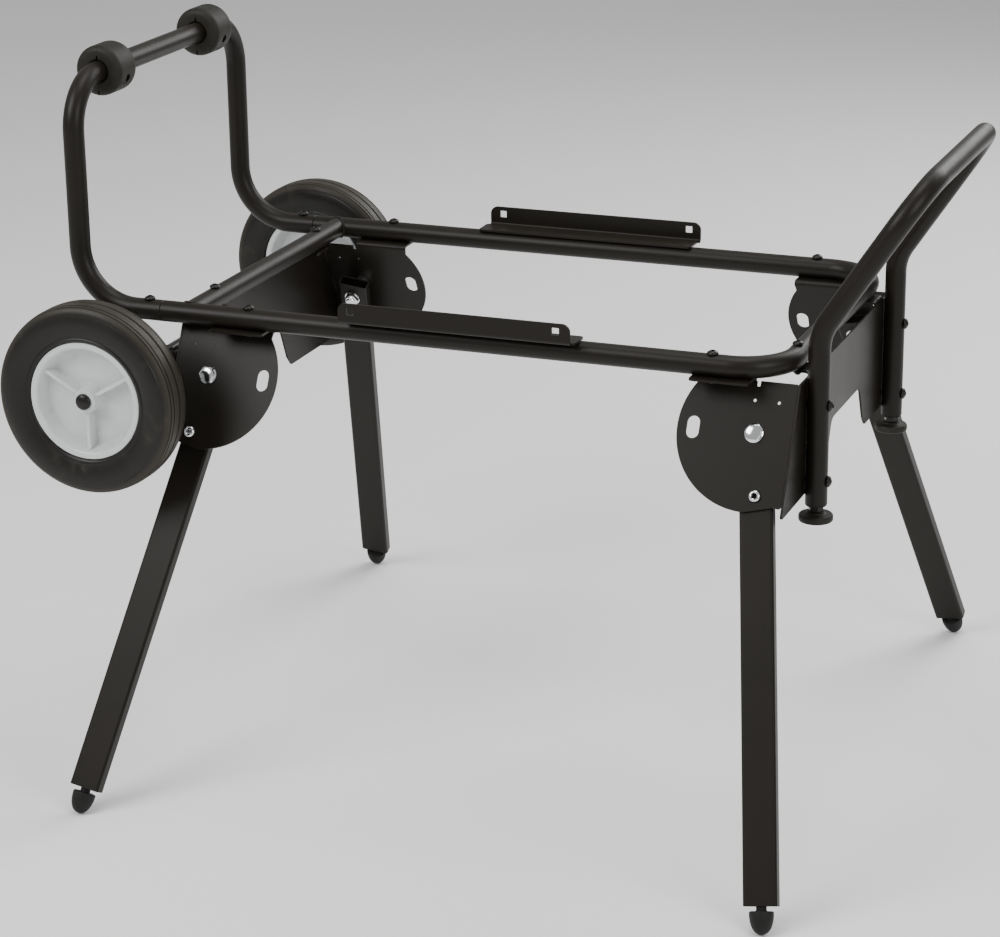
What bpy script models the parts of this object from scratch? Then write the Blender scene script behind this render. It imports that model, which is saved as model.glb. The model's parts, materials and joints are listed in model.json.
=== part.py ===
"""Folding wheeled saw stand.

Metres, +Z up. The floor is z = 0, y = 0 is the plane midway between the two rails, and +X points from
the wheel end to the handle end. "Front" is the -Y side, "back" is the +Y side, "left" is the wheel end
and "right" is the handle end. x = 0 is the middle of the overall length.
"""

import math

import bmesh
import bpy
from mathutils import Matrix, Vector

# ---------------------------------------------------------------- driving dimensions
GAP = 0.0003  # clearance between touching pieces

TUBE_RADIUS = 0.0125  # all round frame tube is 25 mm
SHEET = 0.0025  # pressed sheet thickness

RAIL_Y = 0.215  # rails to the middle plane
RAIL_Z = 0.5524  # height of the rails' centre line
PIVOT_X = 0.3319  # leg pivots to the middle between the left and the right pivots
PIVOT_Y = 0.2247
PIVOT_Z = 0.4823
PLATE_TILT = 0.4758  # leg plates lean this far from upright, foot side outwards
LEG_SPLAY = 0.1599  # legs lean this far outwards within their plate's plane

CROSS_X = 0.3589  # cross tubes to the middle between the pivots
CORNER_RADIUS = 0.060  # bends of the main frame tube
SEAM_X = -0.391  # joint between the rails and the toe loop
SPIGOT_RADIUS = 0.0104
SPIGOT_LENGTH = 0.036

LOOP_X = -0.4975  # upright sides of the toe loop
LOOP_TOP_Z = 0.817
LOOP_LOW_RADIUS = 0.070
LOOP_TOP_RADIUS = 0.060

POST_X = 0.3895
POST_Y = 0.1715
POST_FOOT_Z = 0.3895
HANDLE_BEND_Z = 0.587
HANDLE_TOP_X = 0.500
HANDLE_TOP_Z = 0.7551
HANDLE_RADIUS = 0.060

PLATE_RADIUS = 0.088
PLATE_TOP = 0.0585  # plate's top edge above the pivot, along the plate
PLATE_LIP_Y = 0.2325
PLATE_LIP_SPAN = (-0.074, -0.006)  # lip under the rail, measured outwards from the pivot
LOCK_RADIUS = 0.0699  # pivot to lock button
LOCK_HOLE_RADIUS = 0.0073
SLOT_HALF_LENGTH = 0.0126

WEB_TOP_Z = 0.5345
WEB_FOOT_Z = 0.400
ARCH_Z = 0.4545
ARCH_HALF_TOP = 0.062
ARCH_HALF_FOOT = 0.0885
TAB_Y = 0.1465
TAB_WIDTH = 0.034
TAB_DEPTH = 0.028

LEG_WIDTH = 0.038
LEG_THICKNESS = 0.016
LEG_WALL = 0.0015
LEG_TOP = 0.020  # leg tube's end above the pivot
RIGHT_LEG_SETBACK = 0.0035  # plate's outer face to leg's outer face
LEFT_LEG_SETBACK = 0.0205  # the left legs fold behind the right ones
FOOT_RADIUS = 0.0135
FOOT_LENGTH = 0.025
FOOT_STEM = 0.005

WHEEL_X = -0.4355
WHEEL_Y = 0.3161
WHEEL_Z = 0.4724
TYRE_RADIUS = 0.1128
TYRE_WIDTH = 0.0495
RIM_RADIUS = 0.0721
AXLE_RADIUS = 0.006
AXLE_MID_RADIUS = 0.008
AXLE_BRACKET_Y = 0.215

SAW_BRACKET_Y = 0.2409  # outer face
SAW_BRACKET_X = (-0.156, 0.124)
SAW_BRACKET_TOP_Z = 0.590
SAW_BRACKET_BASE = 0.036
SAW_BRACKET_TAIL = 0.004  # base beyond the upright at one end
SAW_HOLES_X = (-0.1407, 0.1069)
SAW_HOLE_Z = 0.5808
SAW_HOLE = 0.0088

COLLAR_RADIUS = 0.030
COLLAR_LENGTH = 0.045
COLLAR_Y = 0.1285
COLLAR_SCREW_DROP = 0.010

PAD_RADIUS = 0.0195
PAD_FOOT_Z = 0.370
PAD_HEIGHT = 0.011
STUD_RADIUS = 0.005
STUD_TOP_Z = 0.405

BOLT_HEAD_RADIUS = 0.0065
BOLT_HEAD_HEIGHT = 0.0042
BOLT_RADIUS = 0.003
NUT_FLATS = 0.010
NUT_HEIGHT = 0.005
HOLE_SLACK = 0.0004

TOE_BOLT_X = -0.4085
PLATE_BOLT_X = 0.2808
LEFT_CROSS_BOLT_Y = 0.1443
RIGHT_CROSS_BOLT_Y = 0.1492
POST_BOLTS_Z = {"upper": 0.5048, "lower": 0.417}

PIVOT_BOLT_RADIUS = 0.005
PIVOT_HEAD_FLATS = 0.019
PIVOT_HEAD_HEIGHT = 0.0065
PIVOT_NUT_FLATS = 0.017
PIVOT_NUT_HEIGHT = 0.008
BUTTON_RADIUS = 0.007
BUTTON_PROUD = 0.004

HUB_SEAT_RADIUS = 0.0700
HUB_WIDTH = 0.040
HUB_BORE = AXLE_RADIUS + HOLE_SLACK
AXLE_HEAD_RADIUS = 0.0095

# The overall length runs from the tyres to the handle's cross bar, and x = 0 is its middle.
MIDDLE_X = -(WHEEL_X - TYRE_RADIUS + HANDLE_TOP_X + TUBE_RADIUS) / 2

SIDES_X = {"left": -1, "right": 1}
SIDES_Y = {"front": -1, "back": 1}

OBJECT_NAME = "saw_stand"


# ---------------------------------------------------------------- scene helpers
def clear_scene():
    for item in list(bpy.data.objects):
        bpy.data.objects.remove(item, do_unlink=True)


def collection(name):
    made = bpy.data.collections.new(name)
    bpy.context.scene.collection.children.link(made)
    return made


def finish(name, colour, metallic, roughness):
    made = bpy.data.materials.new(name)
    made.use_nodes = True
    shader = made.node_tree.nodes["Principled BSDF"]
    shader.inputs["Base Color"].default_value = (*colour, 1.0)
    shader.inputs["Metallic"].default_value = metallic
    shader.inputs["Roughness"].default_value = roughness
    return made


clear_scene()
PARTS = collection(OBJECT_NAME)
SHAPES = collection("shapes_and_cutters")

POWDER_COAT = finish("black_powder_coat", (0.021, 0.019, 0.017), 0.0, 0.42)
BLACK_BOLT = finish("black_bolt_steel", (0.012, 0.012, 0.012), 0.6, 0.35)
ZINC = finish("bright_zinc", (0.78, 0.79, 0.80), 1.0, 0.18)
RUBBER = finish("black_rubber", (0.020, 0.020, 0.019), 0.0, 0.72)
HUB_PLASTIC = finish("light_grey_plastic", (0.60, 0.62, 0.63), 0.0, 0.42)
BLACK_PLASTIC = finish("black_plastic", (0.024, 0.023, 0.021), 0.0, 0.55)


def hidden_shape(name, mesh):
    """An object that only shapes others: it is never rendered."""
    made = bpy.data.objects.new(name, mesh)
    made.hide_render = True
    made.display_type = "WIRE"
    SHAPES.objects.link(made)
    return made


def mesh_of(source):
    """The evaluated mesh of an object, in its own axes, with coincident points made one."""
    bpy.context.view_layer.update()
    graph = bpy.context.evaluated_depsgraph_get()
    mesh = bpy.data.meshes.new_from_object(source.evaluated_get(graph))
    work = bmesh.new()
    work.from_mesh(mesh)
    bmesh.ops.remove_doubles(work, verts=work.verts, dist=1e-6)
    work.to_mesh(mesh)
    work.free()
    return mesh


def stamp(source, name, material, place=Matrix.Identity(4)):
    """A finished part: the source's shape turned or mirrored by place, with its origin at place."""
    mesh = mesh_of(source)
    turn = place.to_3x3()
    mesh.transform(turn.to_4x4())
    if turn.determinant() < 0:
        mesh.flip_normals()
    mesh.materials.clear()
    mesh.materials.append(material)
    mesh.shade_smooth()
    mesh.set_sharp_from_angle(angle=math.radians(35))
    made = bpy.data.objects.new(name, mesh)
    made.location = place.translation
    PARTS.objects.link(made)
    return made


def boolean(target, tool, operation):
    step = target.modifiers.new(tool.name, "BOOLEAN")
    step.object = tool
    step.operation = operation
    step.solver = "EXACT"
    return target


# ---------------------------------------------------------------- shape helpers
def arc(centre, radius, start, end, steps):
    """Points on a circle from start to end, in degrees."""
    angles = [math.radians(start + (end - start) * i / steps) for i in range(steps + 1)]
    return [(centre[0] + radius * math.cos(a), centre[1] + radius * math.sin(a)) for a in angles]


def circle(centre, radius, steps=10):
    return arc(centre, radius, 0, 360, steps)[:-1]


def rounded_rectangle(x0, x1, y0, y1, radius, steps=4):
    corners = ((x1, y1, 0), (x0, y1, 90), (x0, y0, 180), (x1, y0, 270))
    points = []
    for x, y, start in corners:
        centre = (x - radius if x == x1 else x + radius, y - radius if y == y1 else y + radius)
        points += arc(centre, radius, start, start + 90, steps)
    return points


def sheet(name, outlines, low, high):
    """A flat piece between two heights on local Z, from an outer outline and any holes."""
    curve = bpy.data.curves.new(name, "CURVE")
    curve.dimensions = "2D"
    curve.fill_mode = "BOTH"
    curve.extrude = (high - low) / 2
    for outline in outlines:
        spline = curve.splines.new("POLY")
        spline.points.add(len(outline) - 1)
        for point, (x, y) in zip(spline.points, outline):
            point.co = (x, y, 0, 1)
        spline.use_cyclic_u = True
    drawn = bpy.data.objects.new(name, curve)
    SHAPES.objects.link(drawn)
    mesh = mesh_of(drawn)
    mesh.transform(Matrix.Translation((0, 0, (high + low) / 2)))
    bpy.data.objects.remove(drawn)
    return hidden_shape(name, mesh)


def rounded_path(corners, radii, steps=5):
    """A path through the corners with each inner corner rounded to its radius."""
    corners = [Vector(c) for c in corners]
    path = [corners[0]]
    for before, corner, after, radius in zip(corners, corners[1:], corners[2:], radii):
        back = (before - corner).normalized()
        ahead = (after - corner).normalized()
        half = back.angle(ahead) / 2
        reach = radius / math.tan(half)
        centre = corner + (back + ahead).normalized() * radius / math.sin(half)
        start = corner + back * reach - centre
        end = corner + ahead * reach - centre
        turn = start.angle(end)
        for i in range(steps + 1):
            share = i / steps
            spoke = start * math.sin((1 - share) * turn) + end * math.sin(share * turn)
            path.append(centre + spoke / math.sin(turn))
    path.append(corners[-1])
    return path


def rod(name, path, radius, resolution=4):
    """A round bar along a path."""
    curve = bpy.data.curves.new(name, "CURVE")
    curve.dimensions = "3D"
    curve.bevel_depth = radius
    curve.bevel_resolution = resolution
    curve.use_fill_caps = True
    spline = curve.splines.new("POLY")
    spline.points.add(len(path) - 1)
    for point, place in zip(spline.points, path):
        point.co = (*place, 1)
    drawn = bpy.data.objects.new(name, curve)
    SHAPES.objects.link(drawn)
    mesh = mesh_of(drawn)
    bpy.data.objects.remove(drawn)
    return hidden_shape(name, mesh)


def cylinder(name, start, end, radius, sides=8):
    """A cylinder between two points."""
    start, end = Vector(start), Vector(end)
    axis = end - start
    work = bmesh.new()
    bmesh.ops.create_cone(
        work, cap_ends=True, segments=sides, radius1=radius, radius2=radius, depth=axis.length
    )
    mesh = bpy.data.meshes.new(name)
    work.to_mesh(mesh)
    work.free()
    turn = axis.to_track_quat("Z", "Y").to_matrix().to_4x4()
    mesh.transform(Matrix.Translation((start + end) / 2) @ turn)
    return hidden_shape(name, mesh)


def box(name, low, high):
    """A box between two corners."""
    low, high = Vector(low), Vector(high)
    work = bmesh.new()
    bmesh.ops.create_cube(work, size=1.0)
    mesh = bpy.data.meshes.new(name)
    work.to_mesh(mesh)
    work.free()
    scale = Matrix.Diagonal((*(high - low), 1))
    mesh.transform(Matrix.Translation((low + high) / 2) @ scale)
    return hidden_shape(name, mesh)


def turned(name, profile, steps=12):
    """A shape turned about local Z from (radius, height) points that run from top to bottom."""
    mesh = bpy.data.meshes.new(name)
    points = [(radius, 0, height) for radius, height in profile]
    mesh.from_pydata(points, [(i, i + 1) for i in range(len(points) - 1)], [])
    made = hidden_shape(name, mesh)
    screw = made.modifiers.new("turn", "SCREW")
    screw.steps = steps
    screw.render_steps = steps
    screw.use_merge_vertices = True
    screw.merge_threshold = 0.00001
    return made


def across(x, y, z):
    """A place on the stand, from measures taken from the middle between the pivots."""
    return Vector((x + MIDDLE_X, y, z))


def facing(origin, axis):
    """A placement that turns local Z to an axis."""
    turn = Vector(axis).to_track_quat("Z", "Y").to_matrix().to_4x4()
    return Matrix.Translation(origin) @ turn


def mirror_y(side, origin=(0, 0, 0)):
    """A placement for a front piece: the back one is its mirror image."""
    return Matrix.Translation(origin) @ Matrix.Diagonal((1, -SIDES_Y[side], 1, 1))


def corner_place(side_x, side_y):
    """Axes of a leg plate at its pivot: outwards along X, up along the plate, out of its face."""
    out, away = SIDES_X[side_x], SIDES_Y[side_y]
    lean, rise = math.sin(PLATE_TILT), math.cos(PLATE_TILT)
    columns = ((out, 0, 0), (0, -away * lean, rise), (0, away * rise, lean))
    turn = Matrix(columns).transposed().to_4x4()
    return Matrix.Translation(across(out * PIVOT_X, away * PIVOT_Y, PIVOT_Z)) @ turn


# ---------------------------------------------------------------- fasteners
def dome(radius, height, base, steps=2):
    """Profile points of a domed head from its crown to its rim."""
    angles = [math.pi / 2 * i / steps for i in range(steps + 1)]
    return [(radius * math.sin(a), base + height * (0.35 + 0.65 * math.cos(a))) for a in angles]


def button_bolt(name, grip, nut=True):
    """A domed bolt, with its nut on or threaded into the far wall: z = 0 is under the head."""
    head = dome(BOLT_HEAD_RADIUS, BOLT_HEAD_HEIGHT, 0.0) + [
        (BOLT_HEAD_RADIUS, 0.0),
        (BOLT_RADIUS, 0.0),
        (BOLT_RADIUS, -grip),
    ]
    if not nut:
        return turned(name, head + [(0, -grip)], steps=8)
    nut_radius = NUT_FLATS / 2
    nut_foot = -grip - NUT_HEIGHT
    tip = nut_foot - 0.0015
    nut_profile = [
        (nut_radius, -grip),
        (nut_radius, nut_foot),
        (BOLT_RADIUS, nut_foot),
        (BOLT_RADIUS, tip),
        (0, tip),
    ]
    return turned(name, head + nut_profile, steps=8)


def rail_bolts():
    """Bolts down through the tubes: name, x, y and the thickness that each one clamps."""
    tube = 2 * TUBE_RADIUS
    grip_tab = tube + SHEET + 3 * GAP
    return (
        ("toe_loop_bolt", TOE_BOLT_X, RAIL_Y, tube - 0.001),
        ("left_cross_bolt", -CROSS_X, LEFT_CROSS_BOLT_Y, grip_tab),
        ("left_plate_bolt", -PLATE_BOLT_X, RAIL_Y, grip_tab),
        ("right_plate_bolt", PLATE_BOLT_X, RAIL_Y, grip_tab),
        ("right_cross_bolt", CROSS_X, RIGHT_CROSS_BOLT_Y, grip_tab),
    )


def make_bolts():
    for name, x, y, grip in rail_bolts():
        shape = button_bolt(name + "_shape", grip, nut=name != "toe_loop_bolt")
        for side, away in SIDES_Y.items():
            seat = across(x, away * y, RAIL_Z + TUBE_RADIUS + GAP)
            stamp(shape, f"{name}_{side}", BLACK_BOLT, Matrix.Translation(seat))
    shape = button_bolt("post_bolt_shape", 2 * TUBE_RADIUS + SHEET + 3 * GAP)
    for side, away in SIDES_Y.items():
        for level, z in POST_BOLTS_Z.items():
            seat = across(POST_X + TUBE_RADIUS + GAP, away * POST_Y, z)
            stamp(shape, f"post_bolt_{side}_{level}", BLACK_BOLT, facing(seat, (1, 0, 0)))


def drill_down(target, x, y):
    """Bolt holes straight down through a tube or a lip on both sides."""
    for side, away in SIDES_Y.items():
        low = across(x, away * y, RAIL_Z - 0.05)
        high = across(x, away * y, RAIL_Z + 0.05)
        name = f"{target.name}_{side}_{len(target.modifiers)}"
        boolean(target, cylinder(name, low, high, BOLT_RADIUS + HOLE_SLACK), "DIFFERENCE")


def drill_posts(target, shift=0.0):
    """Bolt holes along X where the handle posts are bolted to the right end panel."""
    for side, away in SIDES_Y.items():
        for level, z in POST_BOLTS_Z.items():
            start = (POST_X + shift - 0.05, away * POST_Y, z)
            end = (POST_X + shift + 0.05, away * POST_Y, z)
            name = f"{target.name}_{side}_{level}"
            boolean(target, cylinder(name, start, end, BOLT_RADIUS + HOLE_SLACK), "DIFFERENCE")


# ---------------------------------------------------------------- round tube frame
def make_main_frame():
    corners = (
        across(SEAM_X + GAP, -RAIL_Y, RAIL_Z),
        across(CROSS_X, -RAIL_Y, RAIL_Z),
        across(CROSS_X, RAIL_Y, RAIL_Z),
        across(SEAM_X + GAP, RAIL_Y, RAIL_Z),
    )
    path = rounded_path(corners, (CORNER_RADIUS, CORNER_RADIUS))
    frame = rod("main_frame_shape", path, TUBE_RADIUS)
    for side, away in SIDES_Y.items():
        start = across(SEAM_X + 0.004, away * RAIL_Y, RAIL_Z)
        end = across(SEAM_X - SPIGOT_LENGTH, away * RAIL_Y, RAIL_Z)
        boolean(frame, cylinder(f"spigot_{side}", start, end, SPIGOT_RADIUS, 12), "UNION")
    for name, x, y, _ in rail_bolts():
        if name != "left_cross_bolt":
            drill_down(frame, x, y)
    stamp(frame, "main_frame_tube", POWDER_COAT)


def make_left_cross_tube():
    ends = (across(-CROSS_X, -RAIL_Y, RAIL_Z), across(-CROSS_X, RAIL_Y, RAIL_Z))
    tube = rod("left_cross_shape", ends, TUBE_RADIUS)
    for side, away in SIDES_Y.items():
        start = across(-CROSS_X - 0.03, away * RAIL_Y, RAIL_Z)
        end = across(-CROSS_X + 0.03, away * RAIL_Y, RAIL_Z)
        cope = cylinder(f"cope_{side}", start, end, TUBE_RADIUS + GAP, 24)
        boolean(tube, cope, "DIFFERENCE")
    drill_down(tube, -CROSS_X, LEFT_CROSS_BOLT_Y)
    stamp(tube, "left_cross_tube", POWDER_COAT)


def make_toe_loop():
    corners = (
        across(SEAM_X, -RAIL_Y, RAIL_Z),
        across(LOOP_X, -RAIL_Y, RAIL_Z),
        across(LOOP_X, -RAIL_Y, LOOP_TOP_Z),
        across(LOOP_X, RAIL_Y, LOOP_TOP_Z),
        across(LOOP_X, RAIL_Y, RAIL_Z),
        across(SEAM_X, RAIL_Y, RAIL_Z),
    )
    radii = (LOOP_LOW_RADIUS, LOOP_TOP_RADIUS, LOOP_TOP_RADIUS, LOOP_LOW_RADIUS)
    loop = rod("toe_loop_shape", rounded_path(corners, radii), TUBE_RADIUS)
    for side, away in SIDES_Y.items():
        start = across(SEAM_X + 0.01, away * RAIL_Y, RAIL_Z)
        end = across(SEAM_X - SPIGOT_LENGTH - GAP, away * RAIL_Y, RAIL_Z)
        boolean(loop, cylinder(f"socket_{side}", start, end, SPIGOT_RADIUS + GAP, 12), "DIFFERENCE")
    drill_down(loop, TOE_BOLT_X, RAIL_Y)
    stamp(loop, "toe_loop_tube", POWDER_COAT)


def make_handle():
    corners = (
        across(POST_X, -POST_Y, POST_FOOT_Z),
        across(POST_X, -POST_Y, HANDLE_BEND_Z),
        across(HANDLE_TOP_X, -POST_Y, HANDLE_TOP_Z),
        across(HANDLE_TOP_X, POST_Y, HANDLE_TOP_Z),
        across(POST_X, POST_Y, HANDLE_BEND_Z),
        across(POST_X, POST_Y, POST_FOOT_Z),
    )
    handle = rod("handle_shape", rounded_path(corners, (HANDLE_RADIUS,) * 4), TUBE_RADIUS)
    drill_posts(handle, MIDDLE_X)
    for side, away in SIDES_Y.items():
        start = across(POST_X, away * POST_Y, POST_FOOT_Z - 0.01)
        end = across(POST_X, away * POST_Y, STUD_TOP_Z + 0.007)
        bore = cylinder(f"stud_bore_{side}", start, end, STUD_RADIUS + HOLE_SLACK, 10)
        boolean(handle, bore, "DIFFERENCE")
    stamp(handle, "handle_tube", POWDER_COAT)


# ---------------------------------------------------------------- pressed sheet
def web_outline():
    """Half of an end panel in (y, z), from the middle of its arch to the middle of its top."""
    slope = math.tan(PLATE_TILT)
    foot_y = PIVOT_Y - (WEB_FOOT_Z - PIVOT_Z) * slope
    top_y = PIVOT_Y - (WEB_TOP_Z - PIVOT_Z) * slope
    tab = (TAB_Y - TAB_WIDTH / 2, TAB_Y + TAB_WIDTH / 2)
    tab_z = RAIL_Z - TUBE_RADIUS - GAP
    knee = ARCH_HALF_TOP
    return [
        (knee - 0.012, ARCH_Z),
        (knee, ARCH_Z - 0.003),
        (knee + 0.009, ARCH_Z - 0.012),
        (ARCH_HALF_FOOT - 0.003, WEB_FOOT_Z + 0.004),
        (ARCH_HALF_FOOT + 0.003, WEB_FOOT_Z),
        (foot_y - 0.004, WEB_FOOT_Z),
        (foot_y - 0.001, WEB_FOOT_Z + 0.003),
        (top_y, WEB_TOP_Z),
        (tab[1], WEB_TOP_Z),
        (tab[1], tab_z),
        (tab[0], tab_z),
        (tab[0], WEB_TOP_Z),
    ]


def make_end_panels():
    half = web_outline()
    outline = half + [(-y, z) for y, z in reversed(half)]
    inner_face = POST_X - TUBE_RADIUS - GAP - SHEET
    tab_top = RAIL_Z - TUBE_RADIUS - 1.3 * GAP
    tab_half = TAB_WIDTH / 2 - 0.001
    axes = Matrix(((0, 0, 1), (1, 0, 0), (0, 1, 0))).to_4x4()
    for side, out in SIDES_X.items():
        web = sheet(f"{side}_web_shape", [outline], inner_face, inner_face + SHEET)
        web.data.transform(axes)
        for name, away in SIDES_Y.items():
            low_y, high_y = away * TAB_Y - tab_half, away * TAB_Y + tab_half
            low = (inner_face + SHEET - TAB_DEPTH, low_y, tab_top - SHEET)
            high = (inner_face + SHEET / 2, high_y, tab_top)
            boolean(web, box(f"{side}_tab_{name}", low, high), "UNION")
        if side == "right":
            drill_posts(web)
        bolt_y = RIGHT_CROSS_BOLT_Y if side == "right" else LEFT_CROSS_BOLT_Y
        for name, away in SIDES_Y.items():
            low = (CROSS_X, away * bolt_y, RAIL_Z - 0.05)
            high = (CROSS_X, away * bolt_y, RAIL_Z + 0.05)
            hole = cylinder(f"{side}_tab_hole_{name}", low, high, BOLT_RADIUS + HOLE_SLACK)
            boolean(web, hole, "DIFFERENCE")
        place = Matrix.Translation((MIDDLE_X, 0, 0)) @ Matrix.Diagonal((out, 1, 1, 1))
        stamp(web, f"{side}_end_panel", POWDER_COAT, place)


def plate_flat():
    """A leg plate in its own plane: x outwards from the pivot, y up the plate, outer face at z = 0."""
    edge = POST_X - TUBE_RADIUS - 2 * GAP - SHEET - PIVOT_X
    shoulder = math.degrees(math.asin(0.0500 / PLATE_RADIUS))
    outline = arc((0, 0), PLATE_RADIUS, 180 - shoulder, 270, 14)
    outline += [
        (edge - 0.004, -PLATE_RADIUS),
        (edge, -PLATE_RADIUS + 0.004),
        (edge, PLATE_TOP),
        (-0.0005, PLATE_TOP),
        (-0.0005, PLATE_TOP - 0.0065),
        (-0.0045, PLATE_TOP - 0.0065),
        (-0.0045, PLATE_TOP),
        (-0.0720, PLATE_TOP),
    ]
    reach = SLOT_HALF_LENGTH - LOCK_HOLE_RADIUS
    slot = arc((-LOCK_RADIUS, reach), LOCK_HOLE_RADIUS, 0, 180, 5)
    slot += arc((-LOCK_RADIUS, -reach), LOCK_HOLE_RADIUS, 180, 360, 5)
    lock = (LOCK_RADIUS * math.sin(LEG_SPLAY), -LOCK_RADIUS * math.cos(LEG_SPLAY))
    holes = [
        circle((0, 0), PIVOT_BOLT_RADIUS + HOLE_SLACK, 12),
        circle(lock, LOCK_HOLE_RADIUS, 12),
        slot,
        circle((-0.0044, 0.0364), 0.0019, 6),
        circle((0.0231, 0.0360), 0.0019, 6),
    ]
    return sheet("plate_shape", [outline] + holes, -SHEET, 0)


def plate_lip():
    """The lip that turns out under the rail, drawn across the plate's section and run along X."""
    slope = math.tan(PLATE_TILT)
    top = RAIL_Z - TUBE_RADIUS - GAP
    under = top - SHEET
    low = PIVOT_Z + (PLATE_TOP - 0.004) * math.cos(PLATE_TILT)
    inset = SHEET / math.cos(PLATE_TILT)

    def face(z):
        return PIVOT_Y - (z - PIVOT_Z) * slope

    section = [
        (face(low), low),
        (face(under), under),
        (PLATE_LIP_Y, under),
        (PLATE_LIP_Y, top),
        (face(top) - inset, top),
        (face(low) - inset, low),
    ]
    lean, rise = math.sin(PLATE_TILT), math.cos(PLATE_TILT)
    across_plate = [
        (-(y - PIVOT_Y) * lean + (z - PIVOT_Z) * rise, (y - PIVOT_Y) * rise + (z - PIVOT_Z) * lean)
        for y, z in section
    ]
    lip = sheet("lip_shape", [across_plate], *PLATE_LIP_SPAN)
    lip.data.transform(Matrix(((0, 0, 1), (1, 0, 0), (0, 1, 0))).to_4x4())
    return lip


def make_leg_plates():
    plate = plate_flat()
    boolean(plate, plate_lip(), "UNION")
    down = Vector((0, -math.cos(PLATE_TILT), -math.sin(PLATE_TILT)))
    lean, rise = math.sin(PLATE_TILT), math.cos(PLATE_TILT)
    out, up = RAIL_Y - PIVOT_Y, RAIL_Z - TUBE_RADIUS - PIVOT_Z
    seat = Vector((PLATE_BOLT_X - PIVOT_X, -out * lean + up * rise, out * rise + up * lean))
    hole = cylinder("lip_hole", seat - down * 0.01, seat + down * 0.01, BOLT_RADIUS + HOLE_SLACK)
    boolean(plate, hole, "DIFFERENCE")
    for side_y in SIDES_Y:
        for side_x in SIDES_X:
            name = f"leg_plate_{side_y}_{side_x}"
            stamp(plate, name, POWDER_COAT, corner_place(side_x, side_y))


def make_saw_brackets():
    """Front bracket; the back one is the same pressing turned end for end."""
    low_z = RAIL_Z + TUBE_RADIUS + GAP
    start, end = SAW_BRACKET_X
    middle = (start + end) / 2
    half = (end - start) / 2
    corner = 0.008
    upright = arc((half - corner, SAW_BRACKET_TOP_Z - corner), corner, 0, 90, 4)
    upright += arc((corner - half, SAW_BRACKET_TOP_Z - corner), corner, 90, 180, 4)
    upright += [(-half, low_z), (half, low_z)]
    flat = sheet("bracket_shape", [upright], 0, SHEET)
    flat.data.transform(Matrix(((1, 0, 0), (0, 0, -1), (0, 1, 0))).to_4x4())
    flat.data.transform(Matrix.Translation((0, -SAW_BRACKET_Y + SHEET, 0)))
    outer, inner = -SAW_BRACKET_Y + SHEET / 2, -SAW_BRACKET_Y + SAW_BRACKET_BASE
    base = box("bracket_base", (0.003 - half, outer, low_z), (half + SAW_BRACKET_TAIL, inner, low_z + SHEET))
    boolean(flat, base, "UNION")
    side_half = SAW_HOLE / 2
    for i, x in enumerate(SAW_HOLES_X):
        low = (x - middle - side_half, -SAW_BRACKET_Y - 0.01, SAW_HOLE_Z - side_half)
        high = (x - middle + side_half, -SAW_BRACKET_Y + 0.01, SAW_HOLE_Z + side_half)
        boolean(flat, box(f"square_hole_{i}", low, high), "DIFFERENCE")
    for side, away in SIDES_Y.items():
        turn = Matrix.Diagonal((-away, -away, 1, 1))
        place = Matrix.Translation(across(middle, 0, 0)) @ turn
        stamp(flat, f"saw_bracket_{side}", POWDER_COAT, place)


def make_axle_brackets():
    web_face = -(POST_X - TUBE_RADIUS - GAP) - GAP
    low, high = WHEEL_Z - 0.030, 0.5035
    wing_end = WHEEL_X - 0.024
    outer = -AXLE_BRACKET_Y
    inner = -AXLE_BRACKET_Y + 0.050
    bracket = box("bracket_wing", (wing_end, outer, low), (web_face, outer + SHEET, high))
    base = box("wing_base", (web_face - SHEET, outer, low), (web_face, inner, high))
    top = box("wing_top", (wing_end, outer, high - SHEET), (web_face, outer + 0.022, high))
    boolean(boolean(bracket, base, "UNION"), top, "UNION")
    start, end = (WHEEL_X, outer - 0.01, WHEEL_Z), (WHEEL_X, outer + 0.01, WHEEL_Z)
    bore = cylinder("wing_bore", start, end, AXLE_MID_RADIUS + HOLE_SLACK, 14)
    boolean(bracket, bore, "DIFFERENCE")
    for side in SIDES_Y:
        place = mirror_y(side, across(0, 0, 0))
        stamp(bracket, f"axle_bracket_{side}", POWDER_COAT, place)


# ---------------------------------------------------------------- legs
def hexagon(flats):
    return circle((0, 0), flats / math.sqrt(3), 6)


def setback(side_x):
    return LEFT_LEG_SETBACK if side_x == "left" else RIGHT_LEG_SETBACK


def leg_length(side_x):
    """Pivot to foot tip, so that the rounded foot just meets the floor."""
    drop = math.cos(PLATE_TILT) * math.cos(LEG_SPLAY)
    middle = setback(side_x) + LEG_THICKNESS / 2
    height = PIVOT_Z - middle * math.sin(PLATE_TILT)
    return (height - FOOT_RADIUS) / drop + FOOT_RADIUS


def leg_turn():
    """Turns a leg drawn straight down the plate to its splay."""
    return Matrix.Rotation(LEG_SPLAY, 4, "Z")


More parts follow.
